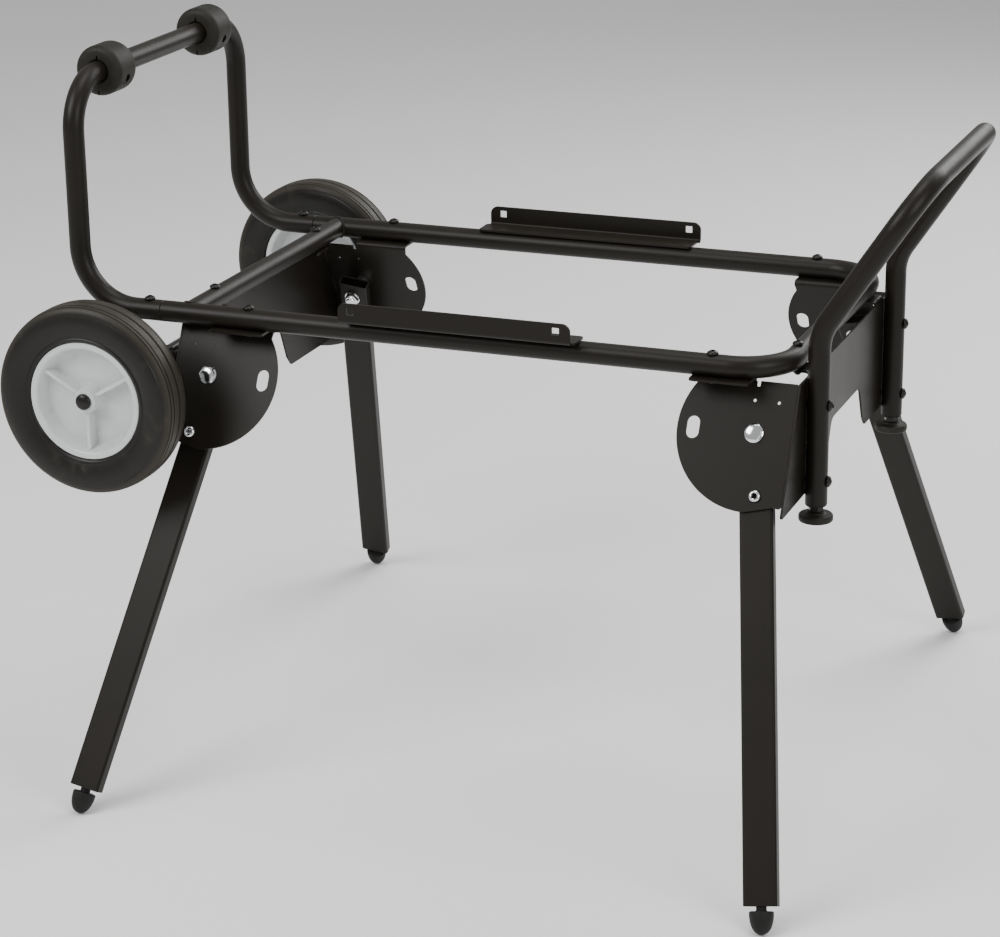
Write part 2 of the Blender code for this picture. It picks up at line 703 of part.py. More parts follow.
def leg_tube(side_x):
    """A hollow rectangular tube, drawn straight down the plate from its pivot."""
    outer = -setback(side_x)
    inner = outer - LEG_THICKNESS
    end = -(leg_length(side_x) - FOOT_LENGTH - FOOT_STEM)
    half = LEG_WIDTH / 2
    section = rounded_rectangle(-half, half, inner, outer, 0.002, 2)
    hollow = rounded_rectangle(
        -half + LEG_WALL, half - LEG_WALL, inner + LEG_WALL, outer - LEG_WALL, 0.001, 2
    )
    tube = sheet(f"leg_shape_{side_x}", [section, hollow], -LEG_TOP, -end)
    tube.data.transform(Matrix(((1, 0, 0), (0, 0, -1), (0, 1, 0))).to_4x4())
    pivot = cylinder(
        f"leg_pivot_{side_x}", (0, 0, 0.05), (0, 0, -0.08), PIVOT_BOLT_RADIUS + HOLE_SLACK, 12
    )
    lock = cylinder(
        f"leg_lock_{side_x}",
        (0, -LOCK_RADIUS, outer + 0.002),
        (0, -LOCK_RADIUS, outer - LEG_WALL - 0.002),
        LOCK_HOLE_RADIUS,
        12,
    )
    boolean(boolean(tube, pivot, "DIFFERENCE"), lock, "DIFFERENCE")
    return tube


def leg_foot(side_x):
    """A rubber bullet on a stem, with the plug that fills the tube's end."""
    middle = -setback(side_x) - LEG_THICKNESS / 2
    tip = leg_length(side_x)
    nose = [
        (FOOT_RADIUS * math.cos(a), -tip + FOOT_RADIUS * (1 - math.sin(a)))
        for a in (math.radians(22.5 * i) for i in range(5))
    ]
    top = -tip + FOOT_LENGTH
    stem = 0.006
    profile = [(0, top + FOOT_STEM + 0.004), (stem, top + FOOT_STEM + 0.004), (stem, top)]
    profile += [(FOOT_RADIUS - 0.002, top), (FOOT_RADIUS, top - 0.002)] + nose
    foot = turned(f"foot_turned_{side_x}", profile, 14)
    mesh = mesh_of(foot)
    mesh.transform(Matrix(((1, 0, 0), (0, 0, 1), (0, -1, 0))).to_4x4())
    mesh.transform(Matrix.Translation((0, 0, middle)))
    body = hidden_shape(f"foot_shape_{side_x}", mesh)
    half = LEG_WIDTH / 2 - LEG_WALL - GAP
    deep = LEG_THICKNESS / 2 - LEG_WALL - GAP
    start = top + FOOT_STEM + GAP
    plug = box(
        f"plug_{side_x}", (-half, start, middle - deep), (half, start + 0.014, middle + deep)
    )
    return boolean(body, plug, "UNION")


def pivot_bolt(side_x):
    """Hex head on the plate, shank through the leg, nut behind it."""
    back = -setback(side_x) - LEG_THICKNESS - GAP
    name = f"pivot_{side_x}"
    bolt = sheet(name + "_head", [hexagon(PIVOT_HEAD_FLATS)], GAP, PIVOT_HEAD_HEIGHT)
    low = back - PIVOT_NUT_HEIGHT - 0.002
    shank = cylinder(name + "_shank", (0, 0, 0.003), (0, 0, low), PIVOT_BOLT_RADIUS, 12)
    nut = sheet(name + "_nut", [hexagon(PIVOT_NUT_FLATS)], back - PIVOT_NUT_HEIGHT, back)
    return boolean(boolean(bolt, shank, "UNION"), nut, "UNION")


def lock_button(side_x):
    """A domed pin that stands proud of the plate and has its retaining flange inside the leg."""
    outer = -setback(side_x)
    inside = outer - LEG_WALL - GAP
    profile = dome(BUTTON_RADIUS, BUTTON_PROUD * 0.6, BUTTON_PROUD * 0.4) + [
        (BUTTON_RADIUS, inside),
        (0.009, inside),
        (0.009, inside - 0.002),
        (0.004, inside - 0.002),
        (0.004, inside - 0.0055),
        (0, inside - 0.0055),
    ]
    button = turned(f"button_shape_{side_x}", profile, 12)
    button.location = (0, -LOCK_RADIUS, 0)
    return button


def make_legs():
    for side_x in SIDES_X:
        tube, foot = leg_tube(side_x), leg_foot(side_x)
        bolt, button = pivot_bolt(side_x), lock_button(side_x)
        for side_y in SIDES_Y:
            place = corner_place(side_x, side_y)
            leg_place = place @ leg_turn()
            button_place = leg_place @ Matrix.Translation(button.location)
            corner = f"{side_y}_{side_x}"
            stamp(tube, f"leg_tube_{corner}", POWDER_COAT, leg_place)
            stamp(foot, f"leg_foot_{corner}", RUBBER, leg_place)
            stamp(bolt, f"pivot_bolt_{corner}", ZINC, place)
            stamp(button, f"lock_button_{corner}", ZINC, button_place)
            if side_x == "left":
                stamp(pivot_spacer(), f"pivot_spacer_{corner}", ZINC, place)


def pivot_spacer():
    """The bush that sets a left leg behind its plate."""
    high, low = -SHEET - GAP, -LEFT_LEG_SETBACK + GAP
    ring = [circle((0, 0), 0.010, 14), circle((0, 0), PIVOT_BOLT_RADIUS + HOLE_SLACK, 12)]
    return sheet("spacer_shape", ring, low, high)


# ---------------------------------------------------------------- wheels
def make_tyres():
    half = TYRE_WIDTH / 2
    seat = HUB_SEAT_RADIUS + GAP
    profile = [
        (seat, half * 0.80),
        (RIM_RADIUS + 0.002, half * 0.86),
        (RIM_RADIUS + 0.020, half),
        (TYRE_RADIUS - 0.010, half * 0.96),
        (TYRE_RADIUS, half * 0.60),
        (TYRE_RADIUS, -half * 0.60),
        (TYRE_RADIUS - 0.010, -half * 0.96),
        (RIM_RADIUS + 0.020, -half),
        (RIM_RADIUS + 0.002, -half * 0.86),
        (seat, -half * 0.80),
        (seat, half * 0.80),
    ]
    tyre = turned("tyre_shape", profile, 36)
    for side, away in SIDES_Y.items():
        place = facing(across(WHEEL_X, away * WHEEL_Y, WHEEL_Z), (0, away, 0))
        stamp(tyre, f"tyre_{side}", RUBBER, place)


def hub_shape():
    """Rim ring, thin web and boss, with three ribs on the outer side; local +Z is outwards."""
    half = HUB_WIDTH / 2
    rim_inner = HUB_SEAT_RADIUS - 0.0045
    boss = 0.0115
    web = 0.0015
    profile = [
        (HUB_BORE, half + 0.001),
        (boss, half + 0.001),
        (boss + 0.001, web),
        (rim_inner - 0.002, web),
        (rim_inner, half - 0.001),
        (rim_inner + 0.001, half),
        (HUB_SEAT_RADIUS, half),
        (HUB_SEAT_RADIUS, -half),
        (rim_inner, -half),
        (rim_inner - 0.002, -web),
        (boss + 0.001, -web),
        (boss, -half - 0.001),
        (HUB_BORE, -half - 0.001),
        (HUB_BORE, half + 0.001),
    ]
    hub = turned("hub_shape", profile, 28)
    for i in range(3):
        rib = box(f"rib_{i}", (boss - 0.001, -0.002, 0), (rim_inner + 0.001, 0.002, half - 0.006))
        rib.data.transform(Matrix.Rotation(math.radians(30 + 120 * i), 4, "Z"))
        boolean(hub, rib, "UNION")
    return hub


def make_hubs():
    hub = hub_shape()
    for side, away in SIDES_Y.items():
        origin = across(WHEEL_X, away * WHEEL_Y, WHEEL_Z)
        axes = Matrix(((1, 0, 0), (0, 0, 1), (0, 1, 0))).to_4x4()
        flip = Matrix.Diagonal((1, away, 1, 1))
        stamp(hub, f"wheel_hub_{side}", HUB_PLASTIC, Matrix.Translation(origin) @ flip @ axes)


def make_axle():
    """A shouldered axle with a formed head at the front and a push cap at the back."""
    hub_outer = WHEEL_Y + HUB_WIDTH / 2 + 0.001 + GAP
    shoulder = WHEEL_Y - HUB_WIDTH / 2 - 0.001 - GAP
    head = dome(AXLE_HEAD_RADIUS, 0.006, hub_outer)
    profile = head + [
        (AXLE_HEAD_RADIUS, hub_outer),
        (AXLE_RADIUS, hub_outer),
        (AXLE_RADIUS, shoulder),
        (AXLE_MID_RADIUS, shoulder),
        (AXLE_MID_RADIUS, -shoulder),
        (AXLE_RADIUS, -shoulder),
        (AXLE_RADIUS, -hub_outer - 0.0015),
        (0, -hub_outer - 0.0015),
    ]
    axle = turned("axle_shape", profile, 14)
    place = facing(across(WHEEL_X, 0, WHEEL_Z), (0, -1, 0))
    stamp(axle, "wheel_axle", BLACK_BOLT, place)
    bore = AXLE_RADIUS + GAP
    cap_profile = head + [
        (AXLE_HEAD_RADIUS, hub_outer),
        (bore, hub_outer),
        (bore, hub_outer + 0.0018),
        (0, hub_outer + 0.0018),
    ]
    cap = turned("cap_shape", cap_profile, 14)
    place = facing(across(WHEEL_X, 0, WHEEL_Z), (0, 1, 0))
    stamp(cap, "axle_cap_back", BLACK_BOLT, place)


# ---------------------------------------------------------------- toe loop collars
def collar_ring():
    half = COLLAR_LENGTH / 2
    bore = TUBE_RADIUS + GAP
    soft = 0.004
    profile = [
        (bore, half),
        (COLLAR_RADIUS - soft, half),
        (COLLAR_RADIUS - soft * 0.3, half - soft * 0.3),
        (COLLAR_RADIUS, half - soft),
        (COLLAR_RADIUS, -half + soft),
        (COLLAR_RADIUS - soft * 0.3, -half + soft * 0.3),
        (COLLAR_RADIUS - soft, -half),
        (bore, -half),
        (bore, half),
    ]
    ring = turned("collar_ring", profile, 24)
    mesh = mesh_of(ring)
    mesh.transform(Matrix.Rotation(math.radians(90), 4, "X"))
    return mesh


def make_collars():
    reach = COLLAR_RADIUS + 0.01
    for half_name, out in (("inner", 1), ("outer", -1)):
        ring = hidden_shape(f"collar_{half_name}", collar_ring())
        low, high = sorted((0.0004 * out, -reach * out))
        away_half = box(f"collar_cut_{half_name}", (low, -reach, -reach), (high, reach, reach))
        boolean(ring, away_half, "DIFFERENCE")
        start = (out * (COLLAR_RADIUS - 0.008), 0, -COLLAR_SCREW_DROP)
        end = (out * reach, 0, -COLLAR_SCREW_DROP)
        boolean(ring, cylinder(f"recess_{half_name}", start, end, 0.0048, 10), "DIFFERENCE")
        for side, away in SIDES_Y.items():
            place = Matrix.Translation(across(LOOP_X, away * COLLAR_Y, LOOP_TOP_Z))
            stamp(ring, f"collar_{side}_{half_name}_half", BLACK_PLASTIC, place)


# ---------------------------------------------------------------- levelling feet
def make_levelling_feet():
    pad_top = PAD_FOOT_Z + PAD_HEIGHT
    pad_profile = [
        (0, pad_top),
        (PAD_RADIUS * 0.55, pad_top),
        (PAD_RADIUS * 0.62, pad_top - 0.002),
        (PAD_RADIUS, pad_top - 0.0035),
        (PAD_RADIUS, PAD_FOOT_Z + 0.0012),
        (PAD_RADIUS - 0.0012, PAD_FOOT_Z),
        (0, PAD_FOOT_Z),
    ]
    collar_z = pad_top + GAP
    stud_profile = [
        (0, STUD_TOP_Z),
        (STUD_RADIUS, STUD_TOP_Z),
        (STUD_RADIUS, collar_z + 0.007),
        (0.0085, collar_z + 0.007),
        (0.0085, collar_z),
        (0, collar_z),
    ]
    pad, stud = turned("pad_shape", pad_profile, 20), turned("stud_shape", stud_profile, 10)
    for side, away in SIDES_Y.items():
        place = Matrix.Translation(across(POST_X, away * POST_Y, 0))
        stamp(pad, f"levelling_pad_{side}", BLACK_PLASTIC, place)
        stamp(stud, f"levelling_stud_{side}", BLACK_BOLT, place)


make_main_frame()
make_left_cross_tube()
make_toe_loop()
make_handle()
make_end_panels()
make_leg_plates()
make_saw_brackets()
make_axle_brackets()
make_bolts()
make_legs()
make_tyres()
make_hubs()
make_axle()
make_collars()
make_levelling_feet()
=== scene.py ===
"""Looks of a folding wheeled saw stand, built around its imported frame.

Metres, +Z up. The floor is z = 0 and y = 0 is the middle plane. "Front" is the -Y side and "back" the
+Y side; "left" is the wheel end (-X) and "right" is the handle end (+X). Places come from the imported
nodes' boxes and from the joints in the record; each class holds the sizes of its own sub-assembly.
"""

import json
import logging
import math
from dataclasses import dataclass
from enum import Enum
from typing import Any, ClassVar, Iterable, NamedTuple, Sequence

import bmesh
import bpy
from mathutils import Matrix, Vector, geometry

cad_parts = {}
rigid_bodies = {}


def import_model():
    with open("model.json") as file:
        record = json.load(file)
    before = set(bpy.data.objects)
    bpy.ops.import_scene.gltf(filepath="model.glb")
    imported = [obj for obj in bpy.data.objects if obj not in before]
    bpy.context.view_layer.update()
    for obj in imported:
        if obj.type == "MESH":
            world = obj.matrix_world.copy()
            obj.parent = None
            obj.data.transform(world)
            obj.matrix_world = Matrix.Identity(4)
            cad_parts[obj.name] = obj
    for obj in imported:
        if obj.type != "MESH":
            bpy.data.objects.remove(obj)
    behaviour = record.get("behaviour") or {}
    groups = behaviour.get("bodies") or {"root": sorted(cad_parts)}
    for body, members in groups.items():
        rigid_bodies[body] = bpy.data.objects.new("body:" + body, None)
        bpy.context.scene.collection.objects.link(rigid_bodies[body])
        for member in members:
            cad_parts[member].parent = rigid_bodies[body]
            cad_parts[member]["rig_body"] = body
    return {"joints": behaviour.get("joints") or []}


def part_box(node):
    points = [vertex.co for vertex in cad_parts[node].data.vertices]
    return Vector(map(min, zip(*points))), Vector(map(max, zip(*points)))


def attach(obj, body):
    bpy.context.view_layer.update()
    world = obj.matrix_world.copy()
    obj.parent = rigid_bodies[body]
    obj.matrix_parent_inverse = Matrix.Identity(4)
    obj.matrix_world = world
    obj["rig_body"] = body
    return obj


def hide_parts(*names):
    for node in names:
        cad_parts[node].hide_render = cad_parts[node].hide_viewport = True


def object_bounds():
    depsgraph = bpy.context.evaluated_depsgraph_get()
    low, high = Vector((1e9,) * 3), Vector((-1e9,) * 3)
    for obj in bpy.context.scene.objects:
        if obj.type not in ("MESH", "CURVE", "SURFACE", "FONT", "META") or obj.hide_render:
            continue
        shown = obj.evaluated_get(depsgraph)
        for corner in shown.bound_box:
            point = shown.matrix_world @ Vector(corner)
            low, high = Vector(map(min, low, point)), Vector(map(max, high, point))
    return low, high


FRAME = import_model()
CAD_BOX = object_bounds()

LOG = logging.getLogger("saw_stand")
GAP = 0.0003  # clearance between pieces that bear on each other
SHEET = 0.0025  # thickness of every folded sheet
SHEET_BEND = 0.002  # inner radius of the sheets' folds
LOCK_RADIUS = 0.0699  # from a leg's pivot to its lock button
SPLAY = 0.1599  # a standing leg's angle in its plate, in radians
SHARP = math.radians(32)  # faces that meet at more than this keep a hard edge

Point2 = tuple[float, float]


class Side(Enum):
    """Which long side a piece is on; the value is its sign on Y."""

    FRONT = -1
    BACK = 1

    @property
    def label(self) -> str:
        """The side's word in node and body names."""
        return self.name.lower()


class End(Enum):
    """Which end a piece is at; the value is its sign on X."""

    LEFT = -1
    RIGHT = 1

    @property
    def label(self) -> str:
        """The end's word in node and body names."""
        return self.name.lower()


CORNERS = [(side, end) for side in Side for end in End]


# ---------------------------------------------------------------- node trees
class Socket:
    """An output of a node, on which Python's operators add Math nodes."""

    def __init__(self, graph: "Graph", link: bpy.types.NodeSocket) -> None:
        """Wraps a socket of a graph."""
        self.graph = graph
        self.link = link

    def math(self, operation: str, *values: Any, clamp: bool = False) -> "Socket":
        """Adds one Math node.

        Args:
            operation: the Math node's operation.
            values: its inputs, in order.
            clamp: whether the result is held between 0 and 1.

        Returns:
            The Math node's output.
        """
        settings = {"operation": operation, "use_clamp": clamp}
        node = self.graph.node("ShaderNodeMath", settings, dict(enumerate(values)))
        return Socket(self.graph, node.outputs[0])

    def __add__(self, other: Any) -> "Socket":
        """Sum."""
        return self.math("ADD", self, other)

    __radd__ = __add__

    def __sub__(self, other: Any) -> "Socket":
        """Difference."""
        return self.math("SUBTRACT", self, other)

    def __mul__(self, other: Any) -> "Socket":
        """Product."""
        return self.math("MULTIPLY", self, other)

    def __pow__(self, other: Any) -> "Socket":
        """Power."""
        return self.math("POWER", self, other)

    def clamped(self) -> "Socket":
        """The value held between 0 and 1."""
        return self.math("ADD", self, 0.0, clamp=True)


class Graph:
    """A shader or Geometry Nodes tree that is written with one node method."""

    def __init__(self, tree: bpy.types.NodeTree) -> None:
        """Wraps a node tree."""
        self.tree = tree

    def node(self, kind: str, settings: dict | None = None, inputs: dict | None = None) -> Any:
        """Adds a node.

        Args:
            kind: the node's type.
            settings: its properties by name.
            inputs: values or links by socket name or number.

        Returns:
            The node.
        """
        made = self.tree.nodes.new(kind)
        for name, value in (settings or {}).items():
            setattr(made, name, value)
        for key, value in (inputs or {}).items():
            socket = made.inputs[key] if isinstance(key, int) else self._input(made, key)
            if isinstance(value, Socket):
                self.tree.links.new(value.link, socket)
            elif value is not None:
                socket.default_value = value
        return made

    @staticmethod
    def _input(node: Any, name: str) -> Any:
        """The node's first input of that name that is in use."""
        return next(s for s in node.inputs if s.name == name and s.enabled)

    def out(self, kind: str, output: str | int = 0, settings: Any = None, inputs: Any = None) -> Socket:
        """Adds a node and returns one of its outputs.

        Args:
            kind: the node's type.
            output: the output's name or number.
            settings: as for node.
            inputs: as for node.

        Returns:
            The output.
        """
        node = self.node(kind, settings, inputs)
        if isinstance(output, int):
            return Socket(self, node.outputs[output])
        return Socket(self, next(s for s in node.outputs if s.name == output and s.enabled))


class Recipe(Graph):
    """A Geometry Nodes tree with named inputs, which is run once on a mesh."""

    def __init__(self, name: str) -> None:
        """Starts an empty tree with its geometry input and output."""
        super().__init__(bpy.data.node_groups.new(name, "GeometryNodeTree"))
        face = self.tree.interface
        face.new_socket("Geometry", in_out="OUTPUT", socket_type="NodeSocketGeometry")
        face.new_socket("Geometry", in_out="INPUT", socket_type="NodeSocketGeometry")
        self.entry = self.tree.nodes.new("NodeGroupInput")

    def input(self, name: str, kind: str = "Float") -> Socket:
        """A named input of the tree.

        Args:
            name: the input's name; "Geometry" is the mesh that the recipe runs on.
            kind: the socket's type, such as Float, Int or Object.

        Returns:
            The input, to be linked.
        """
        if name != "Geometry":
            self.tree.interface.new_socket(name, in_out="INPUT", socket_type=f"NodeSocket{kind}")
        return Socket(self, self.entry.outputs[name])

    def close(self, shape: Socket) -> "Recipe":
        """Realizes the instances, sets the material and ends the tree."""
        finish = self.input("Finish", "Material")
        solid = self.out("GeometryNodeRealizeInstances", inputs={"Geometry": shape})
        dressed = self.out("GeometryNodeSetMaterial", inputs={"Geometry": solid, "Material": finish})
        self.node("NodeGroupOutput", inputs={"Geometry": dressed})
        return self

    def run(self, mesh: bpy.types.Mesh, **values: Any) -> bpy.types.Mesh:
        """Runs the tree on a mesh.

        Args:
            mesh: the mesh that the tree works on.
            values: the inputs by name, with _ for a space.

        Returns:
            The plain mesh that comes out.
        """
        carrier = bpy.data.objects.new(self.tree.name, mesh)
        bpy.context.scene.collection.objects.link(carrier)
        step = carrier.modifiers.new("recipe", "NODES")
        step.node_group = self.tree
        for item in self.tree.interface.items_tree:
            key = item.name.replace(" ", "_")
            if item.in_out == "INPUT" and key in values:
                step[item.identifier] = values[key]
        made = evaluated(carrier)
        carrier.modifiers.clear()
        bpy.data.objects.remove(carrier)
        return made


def tube_recipe() -> Recipe:
    """A round bar along a path of edges; the attribute "girth" scales its radius at each point."""
    recipe = Recipe("bar_along_a_path")
    path = recipe.out("GeometryNodeMeshToCurve", inputs={"Mesh": recipe.input("Geometry")})
    girth = recipe.out(
        "GeometryNodeInputNamedAttribute", "Attribute", {"data_type": "FLOAT"}, {"Name": "girth"}
    )
    path = recipe.out("GeometryNodeSetCurveRadius", inputs={"Curve": path, "Radius": girth})
    section = recipe.out(
        "GeometryNodeCurvePrimitiveCircle",
        inputs={"Resolution": recipe.input("Sides", "Int"), "Radius": recipe.input("Radius")},
    )
    sweep = {"Curve": path, "Profile Curve": section, "Fill Caps": True}
    node = recipe.node("GeometryNodeCurveToMesh", inputs=sweep)
    if "Scale" in node.inputs:
        recipe.tree.links.new(girth.link, node.inputs["Scale"])
    return recipe.close(Socket(recipe, node.outputs[0]))


def bead_recipe() -> Recipe:
    """A weld bead: overlapping ripples at a set spacing along a path of edges."""
    recipe = Recipe("ripples_along_a_path")
    path = recipe.out("GeometryNodeMeshToCurve", inputs={"Mesh": recipe.input("Geometry")})
    points = recipe.node(
        "GeometryNodeCurveToPoints",
        {"mode": "LENGTH"},
        {"Curve": path, "Length": recipe.input("Spacing")},
    )
    ripple = recipe.out(
        "GeometryNodeMeshIcoSphere", "Mesh", inputs={"Radius": recipe.input("Radius"), "Subdivisions": 2}
    )
    size = recipe.out(
        "FunctionNodeRandomValue",
        "Value",
        {"data_type": "FLOAT"},
        {"Min": 0.86, "Max": 1.08, "Seed": 7},
    )
    spread = recipe.out(
        "GeometryNodeInstanceOnPoints",
        inputs={
            "Points": Socket(recipe, points.outputs["Points"]),
            "Instance": ripple,
            "Rotation": Socket(recipe, points.outputs["Rotation"]),
            "Scale": recipe.out("ShaderNodeCombineXYZ", inputs={"X": size, "Y": size, "Z": size * 0.7}),
        },
    )
    smooth = recipe.out("GeometryNodeSetShadeSmooth", inputs={"Geometry": spread})
    return recipe.close(smooth)


def scatter_recipe() -> Recipe:
    """A copy of one shape at each point, its +Z along the point's "facing" and turned by its "spin"."""
    recipe = Recipe("copies_at_points")
    facing = recipe.out(
        "GeometryNodeInputNamedAttribute", "Attribute", {"data_type": "FLOAT_VECTOR"}, {"Name": "facing"}
    )
    spin = recipe.out(
        "GeometryNodeInputNamedAttribute", "Attribute", {"data_type": "FLOAT"}, {"Name": "spin"}
    )
    aim = recipe.out("FunctionNodeAlignRotationToVector", 0, {"axis": "Z"}, {"Vector": facing})
    turn = recipe.out(
        "FunctionNodeAxisAngleToRotation", inputs={"Axis": (0.0, 0.0, 1.0), "Angle": spin}
    )
    aim = recipe.out(
        "FunctionNodeRotateRotation", 0, {"rotation_space": "LOCAL"}, {"Rotation": aim, "Rotate By": turn}
    )
    source = recipe.input("Shape", "Object")
    shape = recipe.out("GeometryNodeObjectInfo", "Geometry", inputs={"Object": source})
    copies = recipe.out(
        "GeometryNodeInstanceOnPoints",
        inputs={"Points": recipe.input("Geometry"), "Instance": shape, "Rotation": aim},
    )
    return recipe.close(copies)


# ---------------------------------------------------------------- finishes
@dataclass(frozen=True)
class Finish:
    """A procedural finish on Object coordinates; the subclasses draw the pattern."""

    name: str
    slot: str
    colour: tuple[float, float, float]
    roughness: float
    metallic: float = 0.0
    coat: float = 0.0
    specular: float = 0.5

    def material(self) -> bpy.types.Material:
        """The finish's material, made the first time it is asked for."""
        found = bpy.data.materials.get(self.name)
        if found:
            return found
        made = bpy.data.materials.new(self.name)
        made.use_nodes = True
        graph = Graph(made.node_tree)
        shader = made.node_tree.nodes["Principled BSDF"]
        shader.inputs["Base Color"].default_value = (*self.colour, 1)
        shader.inputs["Roughness"].default_value = self.roughness
        shader.inputs["Metallic"].default_value = self.metallic
        shader.inputs["Coat Weight"].default_value = self.coat
        shader.inputs["Coat Roughness"].default_value = 0.25
        shader.inputs["Specular IOR Level"].default_value = self.specular
        place = graph.out("ShaderNodeTexCoord", "Object")
        for key, value in self.pattern(graph, place).items():
            graph.tree.links.new(value.link, shader.inputs[key])
        return made

    def pattern(self, graph: Graph, place: Socket) -> dict[str, Socket]:
        """The shader inputs that vary over the surface, by name."""
        raise NotImplementedError

    @staticmethod
    def noise(graph: Graph, place: Socket, scale: float, detail: float = 2.0, warp: float = 0.0) -> Socket:
        """Noise of a scale, in cycles a metre.

        Args:
            graph: the material's graph.
            place: the coordinates.
            scale: cycles a metre.
            detail: how many finer layers are added.
            warp: how much the pattern is distorted.

        Returns:
            The noise, about 0.5.
        """
        values = {"Vector": place, "Scale": scale, "Detail": detail, "Distortion": warp}
        return graph.out("ShaderNodeTexNoise", "Fac", inputs=values)

    @staticmethod
    def blend(graph: Graph, share: Socket, low: Any, high: Any) -> Socket:
        """A mix of two colours by a share from 0 to 1."""
        colours = [c if isinstance(c, Socket) else (*c, 1) for c in (low, high)]
        settings = {"data_type": "RGBA", "blend_type": "MIX"}
        values = {"Factor": share, "A": colours[0], "B": colours[1]}
        return graph.out("ShaderNodeMix", "Result", settings, values)

    @staticmethod
    def bump(graph: Graph, height: Socket, depth: float, strength: float = 1.0) -> Socket:
        """A normal from a height between 0 and 1 that stands for a depth in metres."""
        values = {"Height": height, "Distance": depth, "Strength": strength}
        return graph.out("ShaderNodeBump", "Normal", inputs=values)

    def shade(self, factor: float) -> tuple[float, float, float]:
        """The finish's colour made lighter or darker."""
        return tuple(min(1.0, c * factor) for c in self.colour)


@dataclass(frozen=True)
class PowderCoat(Finish):
    """Satin powder coat: an orange-peel skin with slight clouding and a trace of dust on top."""

    peel: float = 620.0
    depth: float = 0.00009
    dust: tuple[float, float, float] = (0.075, 0.066, 0.054)

    def pattern(self, graph: Graph, place: Socket) -> dict[str, Socket]:
        """Clouded colour and roughness, dust on upward faces, and a peel bump."""
        cloud = self.noise(graph, place, 11.0, 4.0, 0.4)
        peel = self.noise(graph, place, self.peel, 2.0)
        grain = self.noise(graph, place, self.peel * 3.7, 1.0)
        up = graph.out(
            "ShaderNodeSeparateXYZ", "Z", inputs={"Vector": graph.out("ShaderNodeNewGeometry", "Normal")}
        )
        settled = (up.clamped() ** 3) * self.noise(graph, place, 60.0, 5.0) * 0.16
        body = self.blend(graph, cloud, self.shade(0.86), self.shade(1.16))
        colour = self.blend(graph, settled, body, self.dust)
        roughness = self.roughness + (cloud - 0.5) * 0.14 + (peel - 0.5) * 0.10 + settled * 0.8
        height = peel * 0.8 + grain * 0.2
        return {
            "Base Color": colour,
            "Roughness": roughness,
            "Normal": self.bump(graph, height, self.depth, 0.75),
        }


@dataclass(frozen=True)
class PlatedSteel(Finish):
    """Plated or blackened steel: fine drawn scratches and a slightly uneven gloss."""

    stain: float = 0.08

    def pattern(self, graph: Graph, place: Socket) -> dict[str, Socket]:
        """Uneven tint and gloss with a scratch bump."""
        stretched = graph.out("ShaderNodeMapping", inputs={"Vector": place, "Scale": (1.0, 1.0, 6.0)})
        scratch = self.noise(graph, stretched, 900.0, 3.0)
        cloud = self.noise(graph, place, 160.0, 3.0)
        colour = self.blend(graph, cloud, self.shade(1.0 - self.stain), self.shade(1.0 + self.stain))
        return {
            "Base Color": colour,
            "Roughness": self.roughness + (cloud - 0.5) * 0.16 + (scratch - 0.5) * 0.08,
            "Normal": self.bump(graph, scratch, 0.00002, 0.5),
        }


@dataclass(frozen=True)
class Rubber(Finish):
    """Moulded rubber with fine mould rings about a wheel's axis, and dusty scuffs."""

    centre: Point2 | None = None
    tread: float = 1.0
    scuff: tuple[float, float, float] = (0.052, 0.043, 0.031)

    def pattern(self, graph: Graph, place: Socket) -> dict[str, Socket]:
        """Scuffed colour, uneven gloss, and a grain bump with rings where there is a centre."""
        cloud = self.noise(graph, place, 34.0, 5.0, 0.9)
        streak = self.noise(graph, place, 9.0, 3.0, 1.6)
        grain = self.noise(graph, place, 1500.0, 2.0)
        scuffed = (((cloud - 0.52) * 5.0).clamped() * ((streak - 0.50) * 6.0).clamped()) * 0.55
        height, dusty = grain * 0.5, scuffed
        if self.centre:
            moved = graph.out(
                "ShaderNodeMapping",
                inputs={"Vector": place, "Location": (-self.centre[0], 0.0, -self.centre[1])},
            )
            parts = graph.node("ShaderNodeSeparateXYZ", inputs={"Vector": moved})
            across, upward = (Socket(graph, parts.outputs[i]) for i in (0, 2))
            radius = (across * across + upward * upward) ** 0.5
            ring = radius.math("SINE", radius * (2 * math.pi / 0.0011))
            height = height + ring * 0.16
            run = ((radius - self.tread) * 140.0).clamped()
            dusty = (scuffed + run * (0.25 + streak * 0.5)).clamped()
        body = self.blend(graph, cloud, self.shade(0.8), self.shade(1.35))
        return {
            "Base Color": self.blend(graph, dusty, body, self.scuff),
            "Roughness": self.roughness + (cloud - 0.5) * 0.22 + dusty * 0.25,
            "Normal": self.bump(graph, height, 0.00006, 0.8),
        }


@dataclass(frozen=True)
class Moulding(Finish):
    """Injection-moulded plastic: a spark-eroded grain, faint flow marks and a little handling grime."""

    grain: float = 1800.0
    depth: float = 0.00005
    grime: tuple[float, float, float] = (0.2, 0.19, 0.17)
    grime_share: float = 0.1

    def pattern(self, graph: Graph, place: Socket) -> dict[str, Socket]:
        """Flow-marked colour, grained gloss and bump."""
        flow = self.noise(graph, place, 26.0, 3.0, 1.2)
        patch = self.noise(graph, place, 70.0, 5.0, 0.5)
        grain = self.noise(graph, place, self.grain, 2.0)
        body = self.blend(graph, flow, self.shade(0.93), self.shade(1.05))
        dirty = ((patch - 0.55) * 4.0).clamped() * self.grime_share
        return {
            "Base Color": self.blend(graph, dirty, body, self.grime),
            "Roughness": self.roughness + (flow - 0.5) * 0.10 + (grain - 0.5) * 0.12,
            "Normal": self.bump(graph, grain, self.depth, 0.7),
        }


